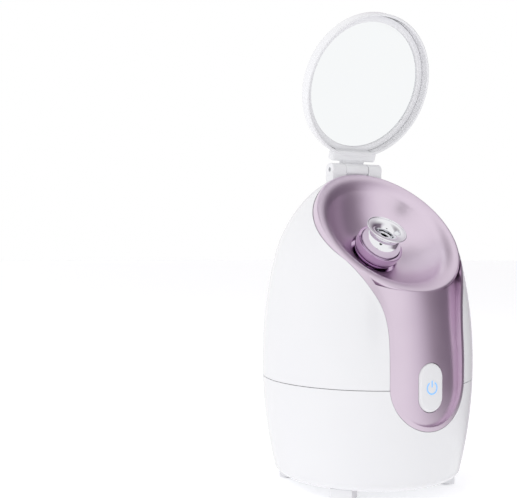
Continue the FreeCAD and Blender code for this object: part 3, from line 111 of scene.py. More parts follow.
def make_camera():
    """Eye level a little above the object's middle, from its front left."""
    data = bpy.data.cameras.new("camera")
    data.lens = LENS
    data.sensor_width = SENSOR_WIDTH
    data.shift_x = LENS_SHIFT
    data.clip_start = NEAREST
    camera = bpy.data.objects.new("camera", data)
    camera.location = (math.sin(CAMERA_AZIMUTH) * CAMERA_DISTANCE,
                       -math.cos(CAMERA_AZIMUTH) * CAMERA_DISTANCE, CAMERA_HEIGHT)
    camera.rotation_euler = (math.pi / 2 - LOOK_DOWN, 0, LOOK_AZIMUTH)
    bpy.context.scene.collection.objects.link(camera)
    bpy.context.scene.camera = camera


def make_light(name, place, size, power):
    """A white disc aimed at the object's middle; shiny surfaces don't mirror it."""
    data = bpy.data.lights.new(name, "AREA")
    data.shape = "DISK"
    data.size = size
    data.energy = power
    lamp = bpy.data.objects.new(name, data)
    middle = Vector((0, 0, cad_box[1][2] / 2))
    lamp.location = middle + place
    lamp.rotation_euler = (-place).to_track_quat("-Z", "Y").to_euler()
    lamp.visible_glossy = False
    bpy.context.scene.collection.objects.link(lamp)


def make_world():
    """A white studio; shiny surfaces see a dark flag on the right and a dark lens hood."""
    world = bpy.data.worlds.new("studio")
    bpy.context.scene.world = world
    world.use_nodes = True
    tree = world.node_tree
    tree.nodes.clear()
    direction = add(tree, "ShaderNodeTexCoord").outputs["Generated"]

    level = add(tree, "ShaderNodeVectorMath", {0: direction, 1: (1, 1, 0)}, operation="MULTIPLY")
    level = add(tree, "ShaderNodeVectorMath", {0: level.outputs[0]}, operation="NORMALIZE").outputs[0]

    def facing(towards, stops, along=direction):
        """Colour ramp over the cosine of the angle to a direction."""
        cosine = add(tree, "ShaderNodeVectorMath", {0: along, 1: towards.normalized()},
                     operation="DOT_PRODUCT").outputs["Value"]
        ramp = add(tree, "ShaderNodeValToRGB", {"Fac": cosine})
        elements = ramp.color_ramp.elements
        elements[0].position, elements[1].position = stops[0][0], stops[-1][0]
        elements[0].color, elements[1].color = linear(stops[0][1]), linear(stops[-1][1])
        for position, colour in stops[1:-1]:
            elements.new(position).color = linear(colour)
        return ramp.outputs["Color"]

    upright = facing(RIGHT * 0.95 + FORWARD * 0.3, [
        (0.35, "#FFFFFF"), (0.6, "#E6E2E8"), (0.72, "#C4BCC6"), (0.82, "#8C818B"), (1, "#7A6F7C")], level)
    above = facing(Z_AXIS, [(0.5, "#000000"), (0.8, "#FFFFFF")])
    below = facing(-Z_AXIS, [(0.24, "#000000"), (0.35, "#FFFFFF")])
    ends = add(tree, "ShaderNodeMath", {0: above, 1: below}, operation="ADD", use_clamp=True)
    flag = add(tree, "ShaderNodeMixRGB",
               {"Fac": ends.outputs[0], "Color1": upright, "Color2": (1, 1, 1, 1)})
    back_flag = facing(RIGHT * 0.45 + FORWARD * 0.8 + Z_AXIS * 0.35, [
        (0.7, "#FFFFFF"), (0.9, "#DDD7DE"), (1, "#D2CBD4")])
    hood = facing(-FORWARD + Z_AXIS * 0.12, [(0.988, "#FFFFFF"), (0.993, "#0C0B0D")])
    ceiling = facing(Z_AXIS, [(0.9, "#FFFFFF"), (0.99, "#B4B0B4")])
    studio = flag.outputs["Color"]
    for shade in (back_flag, hood, ceiling):
        studio = add(tree, "ShaderNodeMixRGB", {"Fac": 1.0, "Color1": studio, "Color2": shade},
                     blend_type="MULTIPLY").outputs["Color"]
    path = add(tree, "ShaderNodeLightPath")
    plain = add(tree, "ShaderNodeBackground", {"Color": (1, 1, 1, 1), "Strength": SOFT_LIGHT})
    seen = add(tree, "ShaderNodeBackground", {"Color": (1, 1, 1, 1), "Strength": 1.0})
    shiny = add(tree, "ShaderNodeBackground", {"Color": studio, "Strength": 1.0})
    mixed = add(tree, "ShaderNodeMixShader",
                {0: path.outputs["Is Glossy Ray"], 1: plain.outputs[0], 2: shiny.outputs[0]})
    final = add(tree, "ShaderNodeMixShader",
                {0: path.outputs["Is Camera Ray"], 1: mixed.outputs[0], 2: seen.outputs[0]})
    add(tree, "ShaderNodeOutputWorld", {"Surface": final.outputs[0]})


def make_floor():
    """White paper under the object, as bright as the studio behind it."""
    bm = bmesh.new()
    bmesh.ops.create_circle(bm, cap_ends=True, radius=FLOOR_RADIUS, segments=96)
    data = bpy.data.meshes.new("studio_floor")
    bm.to_mesh(data)
    bm.free()
    floor = bpy.data.objects.new("studio_floor", data)
    bpy.context.scene.collection.objects.link(floor)
    material = bpy.data.materials.new("matt white paper")
    material.use_nodes = True
    shader = material.node_tree.nodes["Principled BSDF"]
    shader.inputs["Base Color"].default_value = linear("#F7F7F9")
    shader.inputs["Roughness"].default_value = 0.6
    shader.inputs["Emission Color"].default_value = (1, 1, 1, 1)
    shader.inputs["Emission Strength"].default_value = FLOOR_GLOW
    data.materials.append(material)
    floor.visible_glossy = False
    material.cycles.emission_sampling = "NONE"


# ---------------------------------------------------------------- materials
def shader_of(name, colour, roughness, metallic=0.0, **extra):
    """A new material with its Principled shader; extra gives more of its sockets."""
    material = bpy.data.materials.new(name)
    material.use_nodes = True
    shader = material.node_tree.nodes["Principled BSDF"]
    settings = {"Base Color": linear(colour), "Roughness": roughness, "Metallic": metallic}
    settings.update({key.replace("_", " ").title().replace("Ior", "IOR"): setting
                     for key, setting in extra.items()})
    for socket, setting in settings.items():
        shader.inputs[socket].default_value = setting
    return material, material.node_tree, shader


def object_place(tree):
    """Object coordinates: metres in the frame's own axes."""
    return add(tree, "ShaderNodeTexCoord").outputs["Object"]


def surface_relief(tree, shader, size_mm, depth_mm, detail=2.0):
    """Bump from noise: features of a real size and a real depth."""
    noise = add(tree, "ShaderNodeTexNoise", {"Vector": object_place(tree), "Scale": 1000 / size_mm,
                                             "Detail": detail})
    bump = add(tree, "ShaderNodeBump", {"Height": noise.outputs["Fac"], "Strength": 1.0,
                                        "Distance": depth_mm * MM})
    tree.links.new(bump.outputs["Normal"], shader.inputs["Normal"])


def varied(tree, shader, socket, low, high, size_mm):
    """A socket that wanders between two numbers over a real distance."""
    noise = add(tree, "ShaderNodeTexNoise", {"Vector": object_place(tree), "Scale": 1000 / size_mm,
                                             "Detail": 3.0})
    spread = add(tree, "ShaderNodeMapRange", {"Value": noise.outputs["Fac"], "From Min": 0.3,
                                              "From Max": 0.7, "To Min": low, "To Max": high})
    tree.links.new(spread.outputs["Result"], shader.inputs[socket])


def tinted(tree, shader, first, second, size_mm):
    """A base colour that wanders between two close colours over a real distance."""
    noise = add(tree, "ShaderNodeTexNoise", {"Vector": object_place(tree), "Scale": 1000 / size_mm})
    mix = add(tree, "ShaderNodeMixRGB", {"Fac": noise.outputs["Fac"], "Color1": linear(first),
                                         "Color2": linear(second)})
    tree.links.new(mix.outputs["Color"], shader.inputs["Base Color"])


def make_finishes():
    """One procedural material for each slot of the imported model."""
    finishes = {}

    # moulded ABS from a polished tool: even, slightly cool white with a deep gloss
    material, tree, shader = shader_of("polished white ABS", "#F0F0F2", 0.14, ior=1.5)
    tinted(tree, shader, "#F0F0F2", "#EDEDF0", 60)
    varied(tree, shader, "Roughness", 0.12, 0.17, 25)
    surface_relief(tree, shader, 22, 0.01)
    finishes["white_gloss"] = material

    # the same plastic from a matt tool, inside the casing
    material, tree, shader = shader_of("matt white ABS", "#E9EAEC", 0.5, ior=1.5)
    surface_relief(tree, shader, 0.6, 0.02)
    finishes["white_inner"] = material

    # vacuum metallised ABS under a tinted lacquer: pearly mauve that mirrors softly
    material, tree, shader = shader_of("mauve metallised lacquer", "#E2D3E2", 0.33, 1.0,
                                       coat_weight=0.2, coat_roughness=0.1)
    tinted(tree, shader, "#E4D5E4", "#DFCFDF", 35)
    varied(tree, shader, "Roughness", 0.31, 0.35, 12)
    surface_relief(tree, shader, 0.5, 0.002)
    finishes["mauve_trim"] = material

    # mauve chrome plate on the swivel collar: a darker, harder mirror
    material, tree, shader = shader_of("mauve chrome plate", "#C4ABC7", 0.06, 1.0)
    varied(tree, shader, "Roughness", 0.05, 0.09, 8)
    finishes["dark_collar"] = material

    # bright chrome plate: an almost perfect mirror
    material, tree, shader = shader_of("bright chrome plate", "#EDEDF0", 0.03, 1.0)
    varied(tree, shader, "Roughness", 0.02, 0.05, 6)
    finishes["chrome"] = material

    # silvered glass: a flat, very clean mirror
    material, tree, shader = shader_of("silvered mirror glass", "#F6F8F9", 0.012, 1.0,
                                       coat_weight=0.6, coat_roughness=0.01)
    varied(tree, shader, "Roughness", 0.008, 0.02, 18)
    finishes["mirror_glass"] = material

    # zinc plated steel: bright grey with faint turning marks
    material, tree, shader = shader_of("zinc plated steel", "#B9BBBE", 0.3, 1.0)
    varied(tree, shader, "Roughness", 0.22, 0.4, 1.5)
    surface_relief(tree, shader, 0.4, 0.01)
    finishes["steel"] = material

    # moulded rubber: soft dark grey with a fine grain
    material, tree, shader = shader_of("grey moulded rubber", "#8D8F94", 0.75)
    surface_relief(tree, shader, 0.35, 0.03)
    finishes["rubber_grey"] = material

    # silicone: milky, soft and slightly see-through
    material, tree, shader = shader_of("milky silicone rubber", "#E6E4DF", 0.45,
                                       subsurface_weight=0.3, subsurface_scale=0.003)
    surface_relief(tree, shader, 1.5, 0.02)
    finishes["silicone"] = material

    # clear styrene tank, frosted inside: light passes but shapes blur
    material, tree, shader = shader_of("frosted clear SAN", "#EEF3F8", 0.16, ior=1.57,
                                       transmission_weight=0.35)
    varied(tree, shader, "Roughness", 0.12, 0.22, 20)
    finishes["tank_plastic"] = material

    # acetal: slippery, waxy white
    material, tree, shader = shader_of("natural acetal", "#F0EFEA", 0.35,
                                       subsurface_weight=0.15, subsurface_scale=0.002)
    surface_relief(tree, shader, 0.8, 0.008)
    finishes["valve_plastic"] = material

    # die-cast aluminium: pale grey, slightly uneven skin
    material, tree, shader = shader_of("die-cast aluminium", "#B4B6B8", 0.42, 1.0)
    varied(tree, shader, "Roughness", 0.34, 0.52, 4)
    surface_relief(tree, shader, 0.9, 0.03)
    finishes["boiler_alloy"] = material

    # alumina ceramic: chalky off-white
    material, tree, shader = shader_of("alumina ceramic", "#E7E3DA", 0.6)
    tinted(tree, shader, "#EAE6DD", "#DED9CE", 5)
    surface_relief(tree, shader, 0.3, 0.015)
    finishes["heater_ceramic"] = material

    # glass-fibre board under green solder mask, with the weave just showing
    material, tree, shader = shader_of("green solder mask", "#2E6B45", 0.3)
    tinted(tree, shader, "#2E6B45", "#285F3D", 3)
    surface_relief(tree, shader, 0.8, 0.01)
    finishes["board_green"] = material

    # filled black plastic of sockets and switches
    material, tree, shader = shader_of("black PBT", "#1B1C1F", 0.42)
    surface_relief(tree, shader, 0.4, 0.015)
    finishes["black_plastic"] = material

    # polyester tape round a transformer's winding
    material, tree, shader = shader_of("yellow winding tape", "#D9B53C", 0.35)
    surface_relief(tree, shader, 2.5, 0.02)
    finishes["coil_yellow"] = material

    # drawn brass of the mains contacts
    material, tree, shader = shader_of("drawn brass", "#C9A35A", 0.25, 1.0)
    varied(tree, shader, "Roughness", 0.2, 0.32, 1)
    finishes["brass"] = material

    # pale blue light guide: frosted acrylic lit from behind
    material, tree, shader = shader_of("lit blue acrylic", "#7FB5EA", 0.3, emission_strength=0.45)
    shader.inputs["Emission Color"].default_value = linear("#7FB5EA")
    varied(tree, shader, "Roughness", 0.25, 0.38, 2)
    finishes["light_lens"] = material
    return finishes


def dress_packed_nodes(finishes):
    """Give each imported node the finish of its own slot."""
    for node in NODES.values():
        for slot in node.material_slots:
            slot.material = finishes[slot.material.name.split(".")[0]]


# ---------------------------------------------------------------- measuring the frame
def triangles(node):
    mesh = NODES[node].data
    mesh.calc_loop_triangles()
    for triangle in mesh.loop_triangles:
        yield [mesh.vertices[i].co for i in triangle.vertices]


def centroid(node):
    """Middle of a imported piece's skin, weighted by area."""
    total, weight = Vector(), 0.0
    for a, b, c in triangles(node):
        area = (b - a).cross(c - a).length / 2
        total += (a + b + c) * (area / 3)
        weight += area
    return total / weight


def reach(node, axis, origin=Vector()):
    """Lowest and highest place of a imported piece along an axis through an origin."""
    along = [(vertex.co - origin).dot(axis) for vertex in NODES[node].data.vertices]
    return min(along), max(along)


def girth(node, axis, origin, low=-1.0, high=1.0):
    """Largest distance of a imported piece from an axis, between two heights on it."""
    widest = 0.0
    for vertex in NODES[node].data.vertices:
        offset = vertex.co - origin
        height = offset.dot(axis)
        if low <= height <= high:
            widest = max(widest, (offset - axis * height).length)
    return widest


def standing(origin, axis):
    """The frame of a piece whose z axis is given and whose x axis is the object's."""
    axis = axis.normalized()
    across = axis.cross(X_AXIS)
    turn = Matrix((X_AXIS, across, axis)).transposed().to_4x4()
    return Matrix.Translation(origin) @ turn


BOWL_AXIS = Vector(JOINTS["nozzle_turn"]["axis"]).normalized()
BALL = Vector(JOINTS["nozzle_turn"]["pos_m"])
RIM_CENTRE = BALL + BOWL_AXIS * reach("steam_bowl", BOWL_AXIS, BALL)[1]
BOWL = standing(RIM_CENTRE, BOWL_AXIS)
NOZZLE_AXIS = (centroid("nozzle_flare") - BALL).normalized()
NOZZLE = standing(BALL, NOZZLE_AXIS)
HINGE = Vector(JOINTS["lid_hinge"]["pos_m"])
OPENING = math.radians(JOINTS["lid_hinge"]["range_deg"][1])
LID = (Matrix.Translation(HINGE) @ Matrix.Rotation(-OPENING, 4, "X")
       @ Matrix.Translation(-HINGE) @ BOWL)


# ---------------------------------------------------------------- making meshes
# segments of a turned piece, and of a large one
ROUND = 128
FINE_ROUND = 192
# vertices closer than this are one, and anything under TINY counts as nothing
WELD = 1e-6
TINY = 1e-7
CREASE = math.radians(32)


def finished(bm, name, body, slot, replaced=(), place=Matrix.Identity(4),
             crease=CREASE):
    """A mesh piece from a bmesh: placed, smooth, dressed, riding on its body."""
    bmesh.ops.remove_doubles(bm, verts=bm.verts, dist=WELD)
    bmesh.ops.transform(bm, matrix=place, verts=bm.verts)
    bmesh.ops.recalc_face_normals(bm, faces=bm.faces)
    for face in bm.faces:
        face.smooth = True
    for edge in bm.edges:
        edge.smooth = len(edge.link_faces) == 2 and edge.calc_face_angle(0.0) < crease
    data = bpy.data.meshes.new(name)
    bm.to_mesh(data)
    bm.free()
    data.materials.append(FINISHES[slot])
    piece = bpy.data.objects.new(name, data)
    bpy.context.scene.collection.objects.link(piece)
    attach(piece, body)
    if replaced:
        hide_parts(*replaced)
    return piece


def arc(centre, radius, start, end, steps=10):
    """Points on an arc of a half section, between two angles in degrees."""
    points = []
    for step in range(steps + 1):
        turn = math.radians(start + (end - start) * step / steps)
        points.append((centre[0] + radius * math.cos(turn), centre[1] + radius * math.sin(turn)))
    return points


def rounded(corners, steps=5):
    """A closed half section from (radius, height, rounding) corners."""
    outline = []
    count = len(corners)
    for number, (r, z, rounding) in enumerate(corners):
        here = Vector((r, z))
        if rounding <= 0:
            outline.append((r, z))
            continue
        before = (Vector(corners[number - 1][:2]) - here).normalized()
        after = (Vector(corners[(number + 1) % count][:2]) - here).normalized()
        half = before.angle(after) / 2
        back = rounding / math.tan(half)
        middle = here + (before + after).normalized() * (rounding / math.sin(half))
        first, last = here + before * back - middle, here + after * back - middle
        sweep = first.angle_signed(last)
        for step in range(steps + 1):
            spoke = first.copy()
            spoke.rotate(Matrix.Rotation(-sweep * step / steps, 2))
            outline.append(tuple(middle + spoke))
    return outline


def lathe(outline, segments=ROUND):
    """A bmesh turned about z from a closed half section; points on the axis stay single."""
    bm = bmesh.new()
    rings = []
    for r, z in outline:
        if r < TINY:
            rings.append([bm.verts.new((0, 0, z))])
        else:
            rings.append([bm.verts.new((r * math.cos(2 * math.pi * n / segments),
                                        r * math.sin(2 * math.pi * n / segments), z))
                          for n in range(segments)])
    for number, ring in enumerate(rings):
        above = rings[(number + 1) % len(rings)]
        if len(ring) == 1 and len(above) == 1:
            continue
        for n in range(segments):
            corners = [ring[n % len(ring)], ring[(n + 1) % len(ring)],
                       above[(n + 1) % len(above)], above[n % len(above)]]
            unique = list(dict.fromkeys(corners))
            if len(unique) > 2:
                bm.faces.new(unique)
    return bm


def skin(bm, rings):
    """Faces between rings of equal count, and one face on each end."""
    count = len(rings[0])
    for first, second in zip(rings, rings[1:]):
        for n in range(count):
            after = (n + 1) % count
            bm.faces.new((first[n], first[after], second[after], second[n]))
    bm.faces.new(rings[0])
    bm.faces.new(rings[-1])


def soft_box(low, high, rounding, steps=4):
    """A box between two corners with every edge rounded."""
    bm = bmesh.new()
    bmesh.ops.create_cube(bm, size=1.0)
    size = Vector(high) - Vector(low)
    middle = (Vector(high) + Vector(low)) / 2
    bmesh.ops.scale(bm, vec=size, verts=bm.verts)
    bmesh.ops.translate(bm, vec=middle, verts=bm.verts)
    bmesh.ops.bevel(bm, geom=bm.edges[:], offset=rounding, segments=steps, profile=0.5,
                    affect="EDGES", clamp_overlap=True)
    return bm


def joined(*parts):
    """Several bmeshes in one."""
    whole = bmesh.new()
    for part in parts:
        data = bpy.data.meshes.new("joining")
        part.to_mesh(data)
        part.free()
        whole.from_mesh(data)
        bpy.data.meshes.remove(data)
    return whole


# ---------------------------------------------------------------- bowl
def make_bowl():
    """The dish in one sweep: a soft flat rim rolls over into a deep spherical dish."""
    rim = girth("steam_bowl", BOWL_AXIS, RIM_CENTRE, -4 * MM, 1 * MM)
    band = 8.6 * MM
    depth = 25 * MM
    roll = 13 * MM
    edge = 1.6 * MM
    wall = 2.2 * MM
    lip = 6 * MM
    play = 0.3 * MM
    mouth = rim - band
    sphere = (mouth ** 2 + depth ** 2) / (2 * depth)
    middle = sphere - depth
    hole = girth("nozzle_collar", BOWL_AXIS, BALL, -8 * MM, 1 * MM) + play
    boss = girth("nozzle_seat", BOWL_AXIS, BALL)
    skirt = reach("steam_bowl", BOWL_AXIS, RIM_CENTRE)[0]
    roll_r = math.sqrt((sphere + roll) ** 2 - (middle + roll) ** 2)
    roll_turn = math.degrees(math.atan2(middle + roll, roll_r))
    hole_turn = math.degrees(math.asin(hole / sphere)) - 90
    back = sphere + wall
    back_top = math.degrees(math.asin(math.sqrt(back ** 2 - (middle + wall) ** 2) / back)) - 90
    back_low = math.degrees(math.asin(boss / back)) - 90
    outline = [(hole, middle - math.sqrt(sphere ** 2 - hole ** 2))]
    outline += arc((0, middle), sphere, hole_turn + 0.5, -roll_turn, 40)[1:]
    outline += arc((roll_r, -roll), roll, 180 - roll_turn, 90, 12)[1:]
    outline += arc((rim - edge, -edge), edge, 90, 0, 8)
    outline += [(rim, -lip), (rim - wall, -lip), (rim - wall, -wall)]
    outline += arc((0, middle), back, back_top, back_low, 24)
    outline += [(boss, skirt), (hole, skirt)]
    finished(lathe(outline, FINE_ROUND), "steam_dish", "root", "mauve_trim", ["steam_bowl"], BOWL)


# ---------------------------------------------------------------- nozzle
# the steam's way through the nozzle, and the ball's counterbore that the flare stands in
BORE = 5.5 * MM
NECK = 7.6 * MM
NECK_DEPTH = 1.5 * MM


def make_ball(low, top):
    """A chromed ball cut flat at both ends, with a counterbored neck and two trunnion pins."""
    edge = 0.6 * MM
    pin_radius = 1.1 * MM
    pin_length = 2.6 * MM
    pin_offset = 0.3 * MM
    ball = math.hypot(BORE, low)
    cut_turn = math.degrees(math.asin(top / ball))
    low_turn = math.degrees(math.asin(low / ball))
    outline = arc((0, 0), ball, low_turn, cut_turn - 3, 40)
    outline += arc((ball * math.cos(math.radians(cut_turn)) - edge, top - edge), edge, 60, 90, 4)
    outline += [(NECK, top), (NECK, top - NECK_DEPTH), (BORE, top - NECK_DEPTH)]
    lying = Matrix.Rotation(math.pi / 2, 4, "Y")
    pins = []
    for sign in (-1, 1):
        pin = bmesh.new()
        place = Matrix.Translation((sign * (ball + pin_offset), 0, 0)) @ lying
        bmesh.ops.create_cone(pin, cap_ends=True, segments=24, radius1=pin_radius,
                              radius2=pin_radius, depth=pin_length, matrix=place)
        pins.append(pin)
    finished(joined(lathe(outline), *pins), "nozzle_ball_chromed", "nozzle", "chrome",
             ["nozzle_ball"], NOZZLE)


def make_flare(top):
    """A thin trumpet that stands in the ball's neck, with a rolled lip."""
    mouth = reach("nozzle_flare", NOZZLE_AXIS, BALL)[1]
    flare = girth("nozzle_flare", NOZZLE_AXIS, BALL)
    lip = 0.5 * MM
    throat = top - NECK_DEPTH
    outline = [(BORE, throat), (NECK, throat), (NECK, top + 0.8 * MM)]
    outline += trumpet((NECK, top + 0.8 * MM), (flare, mouth - 2 * lip), 10)[1:]
    outline += arc((flare - lip, mouth - lip), lip, 0, 180, 8)[1:]
    outline += trumpet((BORE, top - 0.6 * MM), (flare - 2 * lip, mouth - lip), 14)[::-1][1:]
    finished(lathe(outline), "nozzle_flare_chromed", "nozzle", "chrome", ["nozzle_flare"], NOZZLE)


def make_diffuser():
    """The diffuser in the throat: a ring with crossed bars and a hub."""
    low, high = reach("nozzle_insert", NOZZLE_AXIS, BALL)
    wall = 1 * MM
    half_bar = 0.5 * MM
    bar_edge = 0.15 * MM
    reach_out = BORE - 0.4 * MM
    hub_radius = 1.6 * MM
    hub_edge = 0.8 * MM
    ring = lathe(rounded([(BORE - wall, low, 0.2 * MM), (BORE, low, 0.2 * MM),
                          (BORE, high, 0.3 * MM), (BORE - wall, high, 0.3 * MM)], 3), 64)
    bars = [soft_box((-x, -y, low), (x, y, high - 0.5 * MM), bar_edge, 2)
            for x, y in ((reach_out, half_bar), (half_bar, reach_out))]
    hub = lathe([(0, low), (hub_radius, low)]
                + arc((hub_radius - hub_edge, high - hub_edge), hub_edge, 0, 90, 5) + [(0, high)], 48)
    finished(joined(ring, *bars, hub), "nozzle_diffuser", "nozzle", "chrome", ["nozzle_insert"],
             NOZZLE)


def make_nozzle():
    """The tilting nozzle: ball, flare and diffuser on one body."""
    low, top = reach("nozzle_ball", NOZZLE_AXIS, BALL)
    make_ball(low, top)
    make_flare(top)
    make_diffuser()


def trumpet(start, end, steps):
    """A quarter of an ellipse that leaves its start upwards and arrives outwards."""
    wide, tall = end[0] - start[0], end[1] - start[1]
    return [(end[0] - wide * math.cos(math.pi / 2 * step / steps),
             start[1] + tall * math.sin(math.pi / 2 * step / steps)) for step in range(steps + 1)]


def make_collar():
    """The swivel collar: a polished cup, spherical like the ball that it holds."""
    foot, top = reach("nozzle_collar", BOWL_AXIS, BALL)
    flange = girth("nozzle_collar", BOWL_AXIS, BALL)
    socket = 14.3 * MM
    shell = 16.2 * MM
    lip = 0.5 * MM
    flange_top = foot + 1.7 * MM
    mouth = math.sqrt((shell - lip) ** 2 - (top - lip) ** 2)
    mouth_turn = math.degrees(math.asin((top - lip) / (shell - lip)))
    outline = [(math.sqrt(socket ** 2 - foot ** 2), foot), (flange, foot), (flange, flange_top)]
    outline += arc((0, 0), shell, math.degrees(math.asin(flange_top / shell)), mouth_turn, 24)
    outline += arc((mouth, top - lip), lip, mouth_turn, 90, 6)[1:]
    outline += arc((0, 0), socket, math.degrees(math.asin(top / socket)),
                   math.degrees(math.asin(foot / socket)), 24)[:-1]
    finished(lathe(outline), "nozzle_collar_plated", "collar", "dark_collar", ["nozzle_collar"],
             standing(BALL, BOWL_AXIS))


# ---------------------------------------------------------------- lid
def make_lid():
    """A shallow domed cap with the mirror sunk in it, on an arm with one knuckle."""
    origin = LID.translation
    axis = (LID.to_3x3() @ Z_AXIS).normalized()
    glass_low, glass_top = reach("lid_mirror", axis, origin)
    glass = girth("lid_mirror", axis, origin)
    make_cap(axis, origin, glass, glass_top)

    bevel = 0.7 * MM
    outline = [(0, glass_low), (glass - bevel, glass_low), (glass, glass_low + bevel),
               (glass, glass_top), (0, glass_top)]
    finished(lathe(outline, FINE_ROUND), "lid_mirror_glass", "lid", "mirror_glass",
             ["lid_mirror"], LID, math.radians(20))

    low, high = reach("mirror_bezel", axis, origin)
    outer = girth("mirror_bezel", axis, origin)
    inner = outer - 4.2 * MM
    outline = rounded([(inner, low, 0.9 * MM), (outer, low, 0.3 * MM), (outer, high, 0),
                       (inner, high, 0)], 5)
    finished(lathe(outline, FINE_ROUND), "mirror_ring", "lid", "white_gloss", ["mirror_bezel"], LID)


def make_cap(axis, origin, glass, glass_top):
    """The lid's moulding: a domed disc, the arm that carries it, and the middle knuckle."""
    crown = reach("lid_shell", axis, origin)[1] - 1 * MM
    radius = glass + 3.5 * MM
    edge = 3.5 * MM
    rest = 0.4 * MM
    side = 6.5 * MM
    wall = 2.2 * MM
    lip = 0.8 * MM
    dome = 420 * MM
    dome_z = crown - dome
    dome_turn = math.degrees(math.acos((radius - edge) / dome))
    outline = rounded([(radius - wall, rest, lip), (radius, rest, lip), (radius, side, 0)], 5)
    outline += arc((radius - edge, side), edge, 0, dome_turn, 10)[1:]
    outline += arc((0, dome_z), dome, dome_turn, 90, 16)[1:]
    outline[-1] = (0, crown)
    outline += [(0, crown - wall), (radius - 5 * MM, glass_top), (radius - wall, glass_top)]
    cap = lathe(outline, FINE_ROUND)

    hinge = LID.inverted() @ HINGE
    arm_half = 18 * MM
    knuckle_half = 9.2 * MM
    barrel = 4.5 * MM
    web_top = side - 1.4 * MM
    soft = 0.8 * MM
    arm = soft_box((-arm_half, radius - 2 * wall, rest + 0.2 * MM),
                   (arm_half, hinge.y - barrel - 0.9 * MM, side + 0.6 * MM), 1.4 * MM)
    web = soft_box((-knuckle_half, radius, rest + 0.6 * MM), (knuckle_half, hinge.y, web_top), soft)
    cheek = soft_box((-knuckle_half, hinge.y - barrel + 0.6 * MM, hinge.z),
                     (knuckle_half, hinge.y + 1.5 * MM, web_top), soft)
    knuckle = knuckle_barrel(-knuckle_half, knuckle_half, barrel, hinge)
    finished(joined(cap, arm, web, cheek, knuckle), "lid_cap", "lid", "white_gloss",
             ["lid_shell"], LID)


def knuckle_barrel(left, right, radius, centre, rounding=0.7 * MM):
    """A hinge barrel along x with softened ends."""
    half = (right - left) / 2
    outline = [(0, -half)] + arc((radius - rounding, -half + rounding), rounding, -90, 0, 5)
    outline += arc((radius - rounding, half - rounding), rounding, 0, 90, 5) + [(0, half)]
    bm = lathe(outline, 64)
    middle = Vector(((left + right) / 2, centre.y, centre.z))
    place = Matrix.Translation(middle) @ Matrix.Rotation(math.pi / 2, 4, "Y")
    bmesh.ops.transform(bm, matrix=place, verts=bm.verts)
    return bm


# ---------------------------------------------------------------- button
def make_button():
    """The pill: a softly crowned cap whose edge rolls over."""
    low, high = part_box("power_button")
    half_x = 9.25 * MM
    half_z = 15.25 * MM
    middle_z = (low.z + high.z) / 2
    front = low.y
    back = 5.1 * MM
    round_off = 1.6 * MM
    crown = 0.35 * MM
    sides = 96
    turns = 8
    bm = bmesh.new()

    def pill_ring(inset, depth):
        ring = []
        for n in range(sides):
            turn = 2 * math.pi * n / sides
            radius = half_x - inset
            shift = (half_z - half_x) * (1 if math.sin(turn) >= 0 else -1)
            x, z = radius * math.cos(turn), radius * math.sin(turn) + shift
            bow = crown * ((x / half_x) ** 2 + (z / half_z) ** 2)
            ring.append(bm.verts.new((x, front + depth + bow, middle_z + z)))
        return ring

    rows = [pill_ring(0, back), pill_ring(0, round_off)]
    for step in range(1, turns + 1):
        turn = math.pi / 2 * step / turns
        rows.append(pill_ring(round_off * (1 - math.cos(turn)), round_off * (1 - math.sin(turn))))
    for inset in (2.6, 3.8, 5.2, 6.8, 8.2):
        rows.append(pill_ring(inset * MM, 0))
    skin(bm, rows)
    finished(bm, "button_cap", "button", "white_gloss", ["power_button"])
    make_symbol(front, middle_z)


def make_symbol(front, middle_z):
    """The lit power symbol in the button's face: an open ring and a bar."""
    low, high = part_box("button_icon")
    icon = (high.x - low.x) / 2
    ring = icon * 1.15
    line = 0.45 * MM
    lift = front + 0.02 * MM
    steps = 40
    gap = math.radians(33)
    bm = bmesh.new()
    turns = [gap + (2 * math.pi - 2 * gap) * n / steps for n in range(steps + 1)]
    add_stroke(bm, [(ring * math.sin(t), ring * math.cos(t)) for t in turns], line, lift, middle_z)
    add_stroke(bm, [(0, 0.15 * icon), (0, 1.4 * icon)], line, lift, middle_z)
    finished(bm, "button_symbol", "button", "light_lens", ["button_icon"])


def add_stroke(bm, path, line, front, middle_z, sides=10):
    """A stroke in the button's face, slightly crowned."""
    rings = []
    last = len(path) - 1
    crown = 0.25 * line
    for n, (x, z) in enumerate(path):
        ahead = Vector(path[min(n + 1, last)]) - Vector(path[max(n - 1, 0)])
        side = Vector((-ahead.y, ahead.x)).normalized()
        ring = []
        for k in range(sides):
            turn = 2 * math.pi * k / sides
            across = line * math.cos(turn)
            ring.append(bm.verts.new((x + side.x * across, front + crown * math.sin(turn),
                                      middle_z + z + side.y * across)))
        rings.append(ring)
    skin(bm, rings)


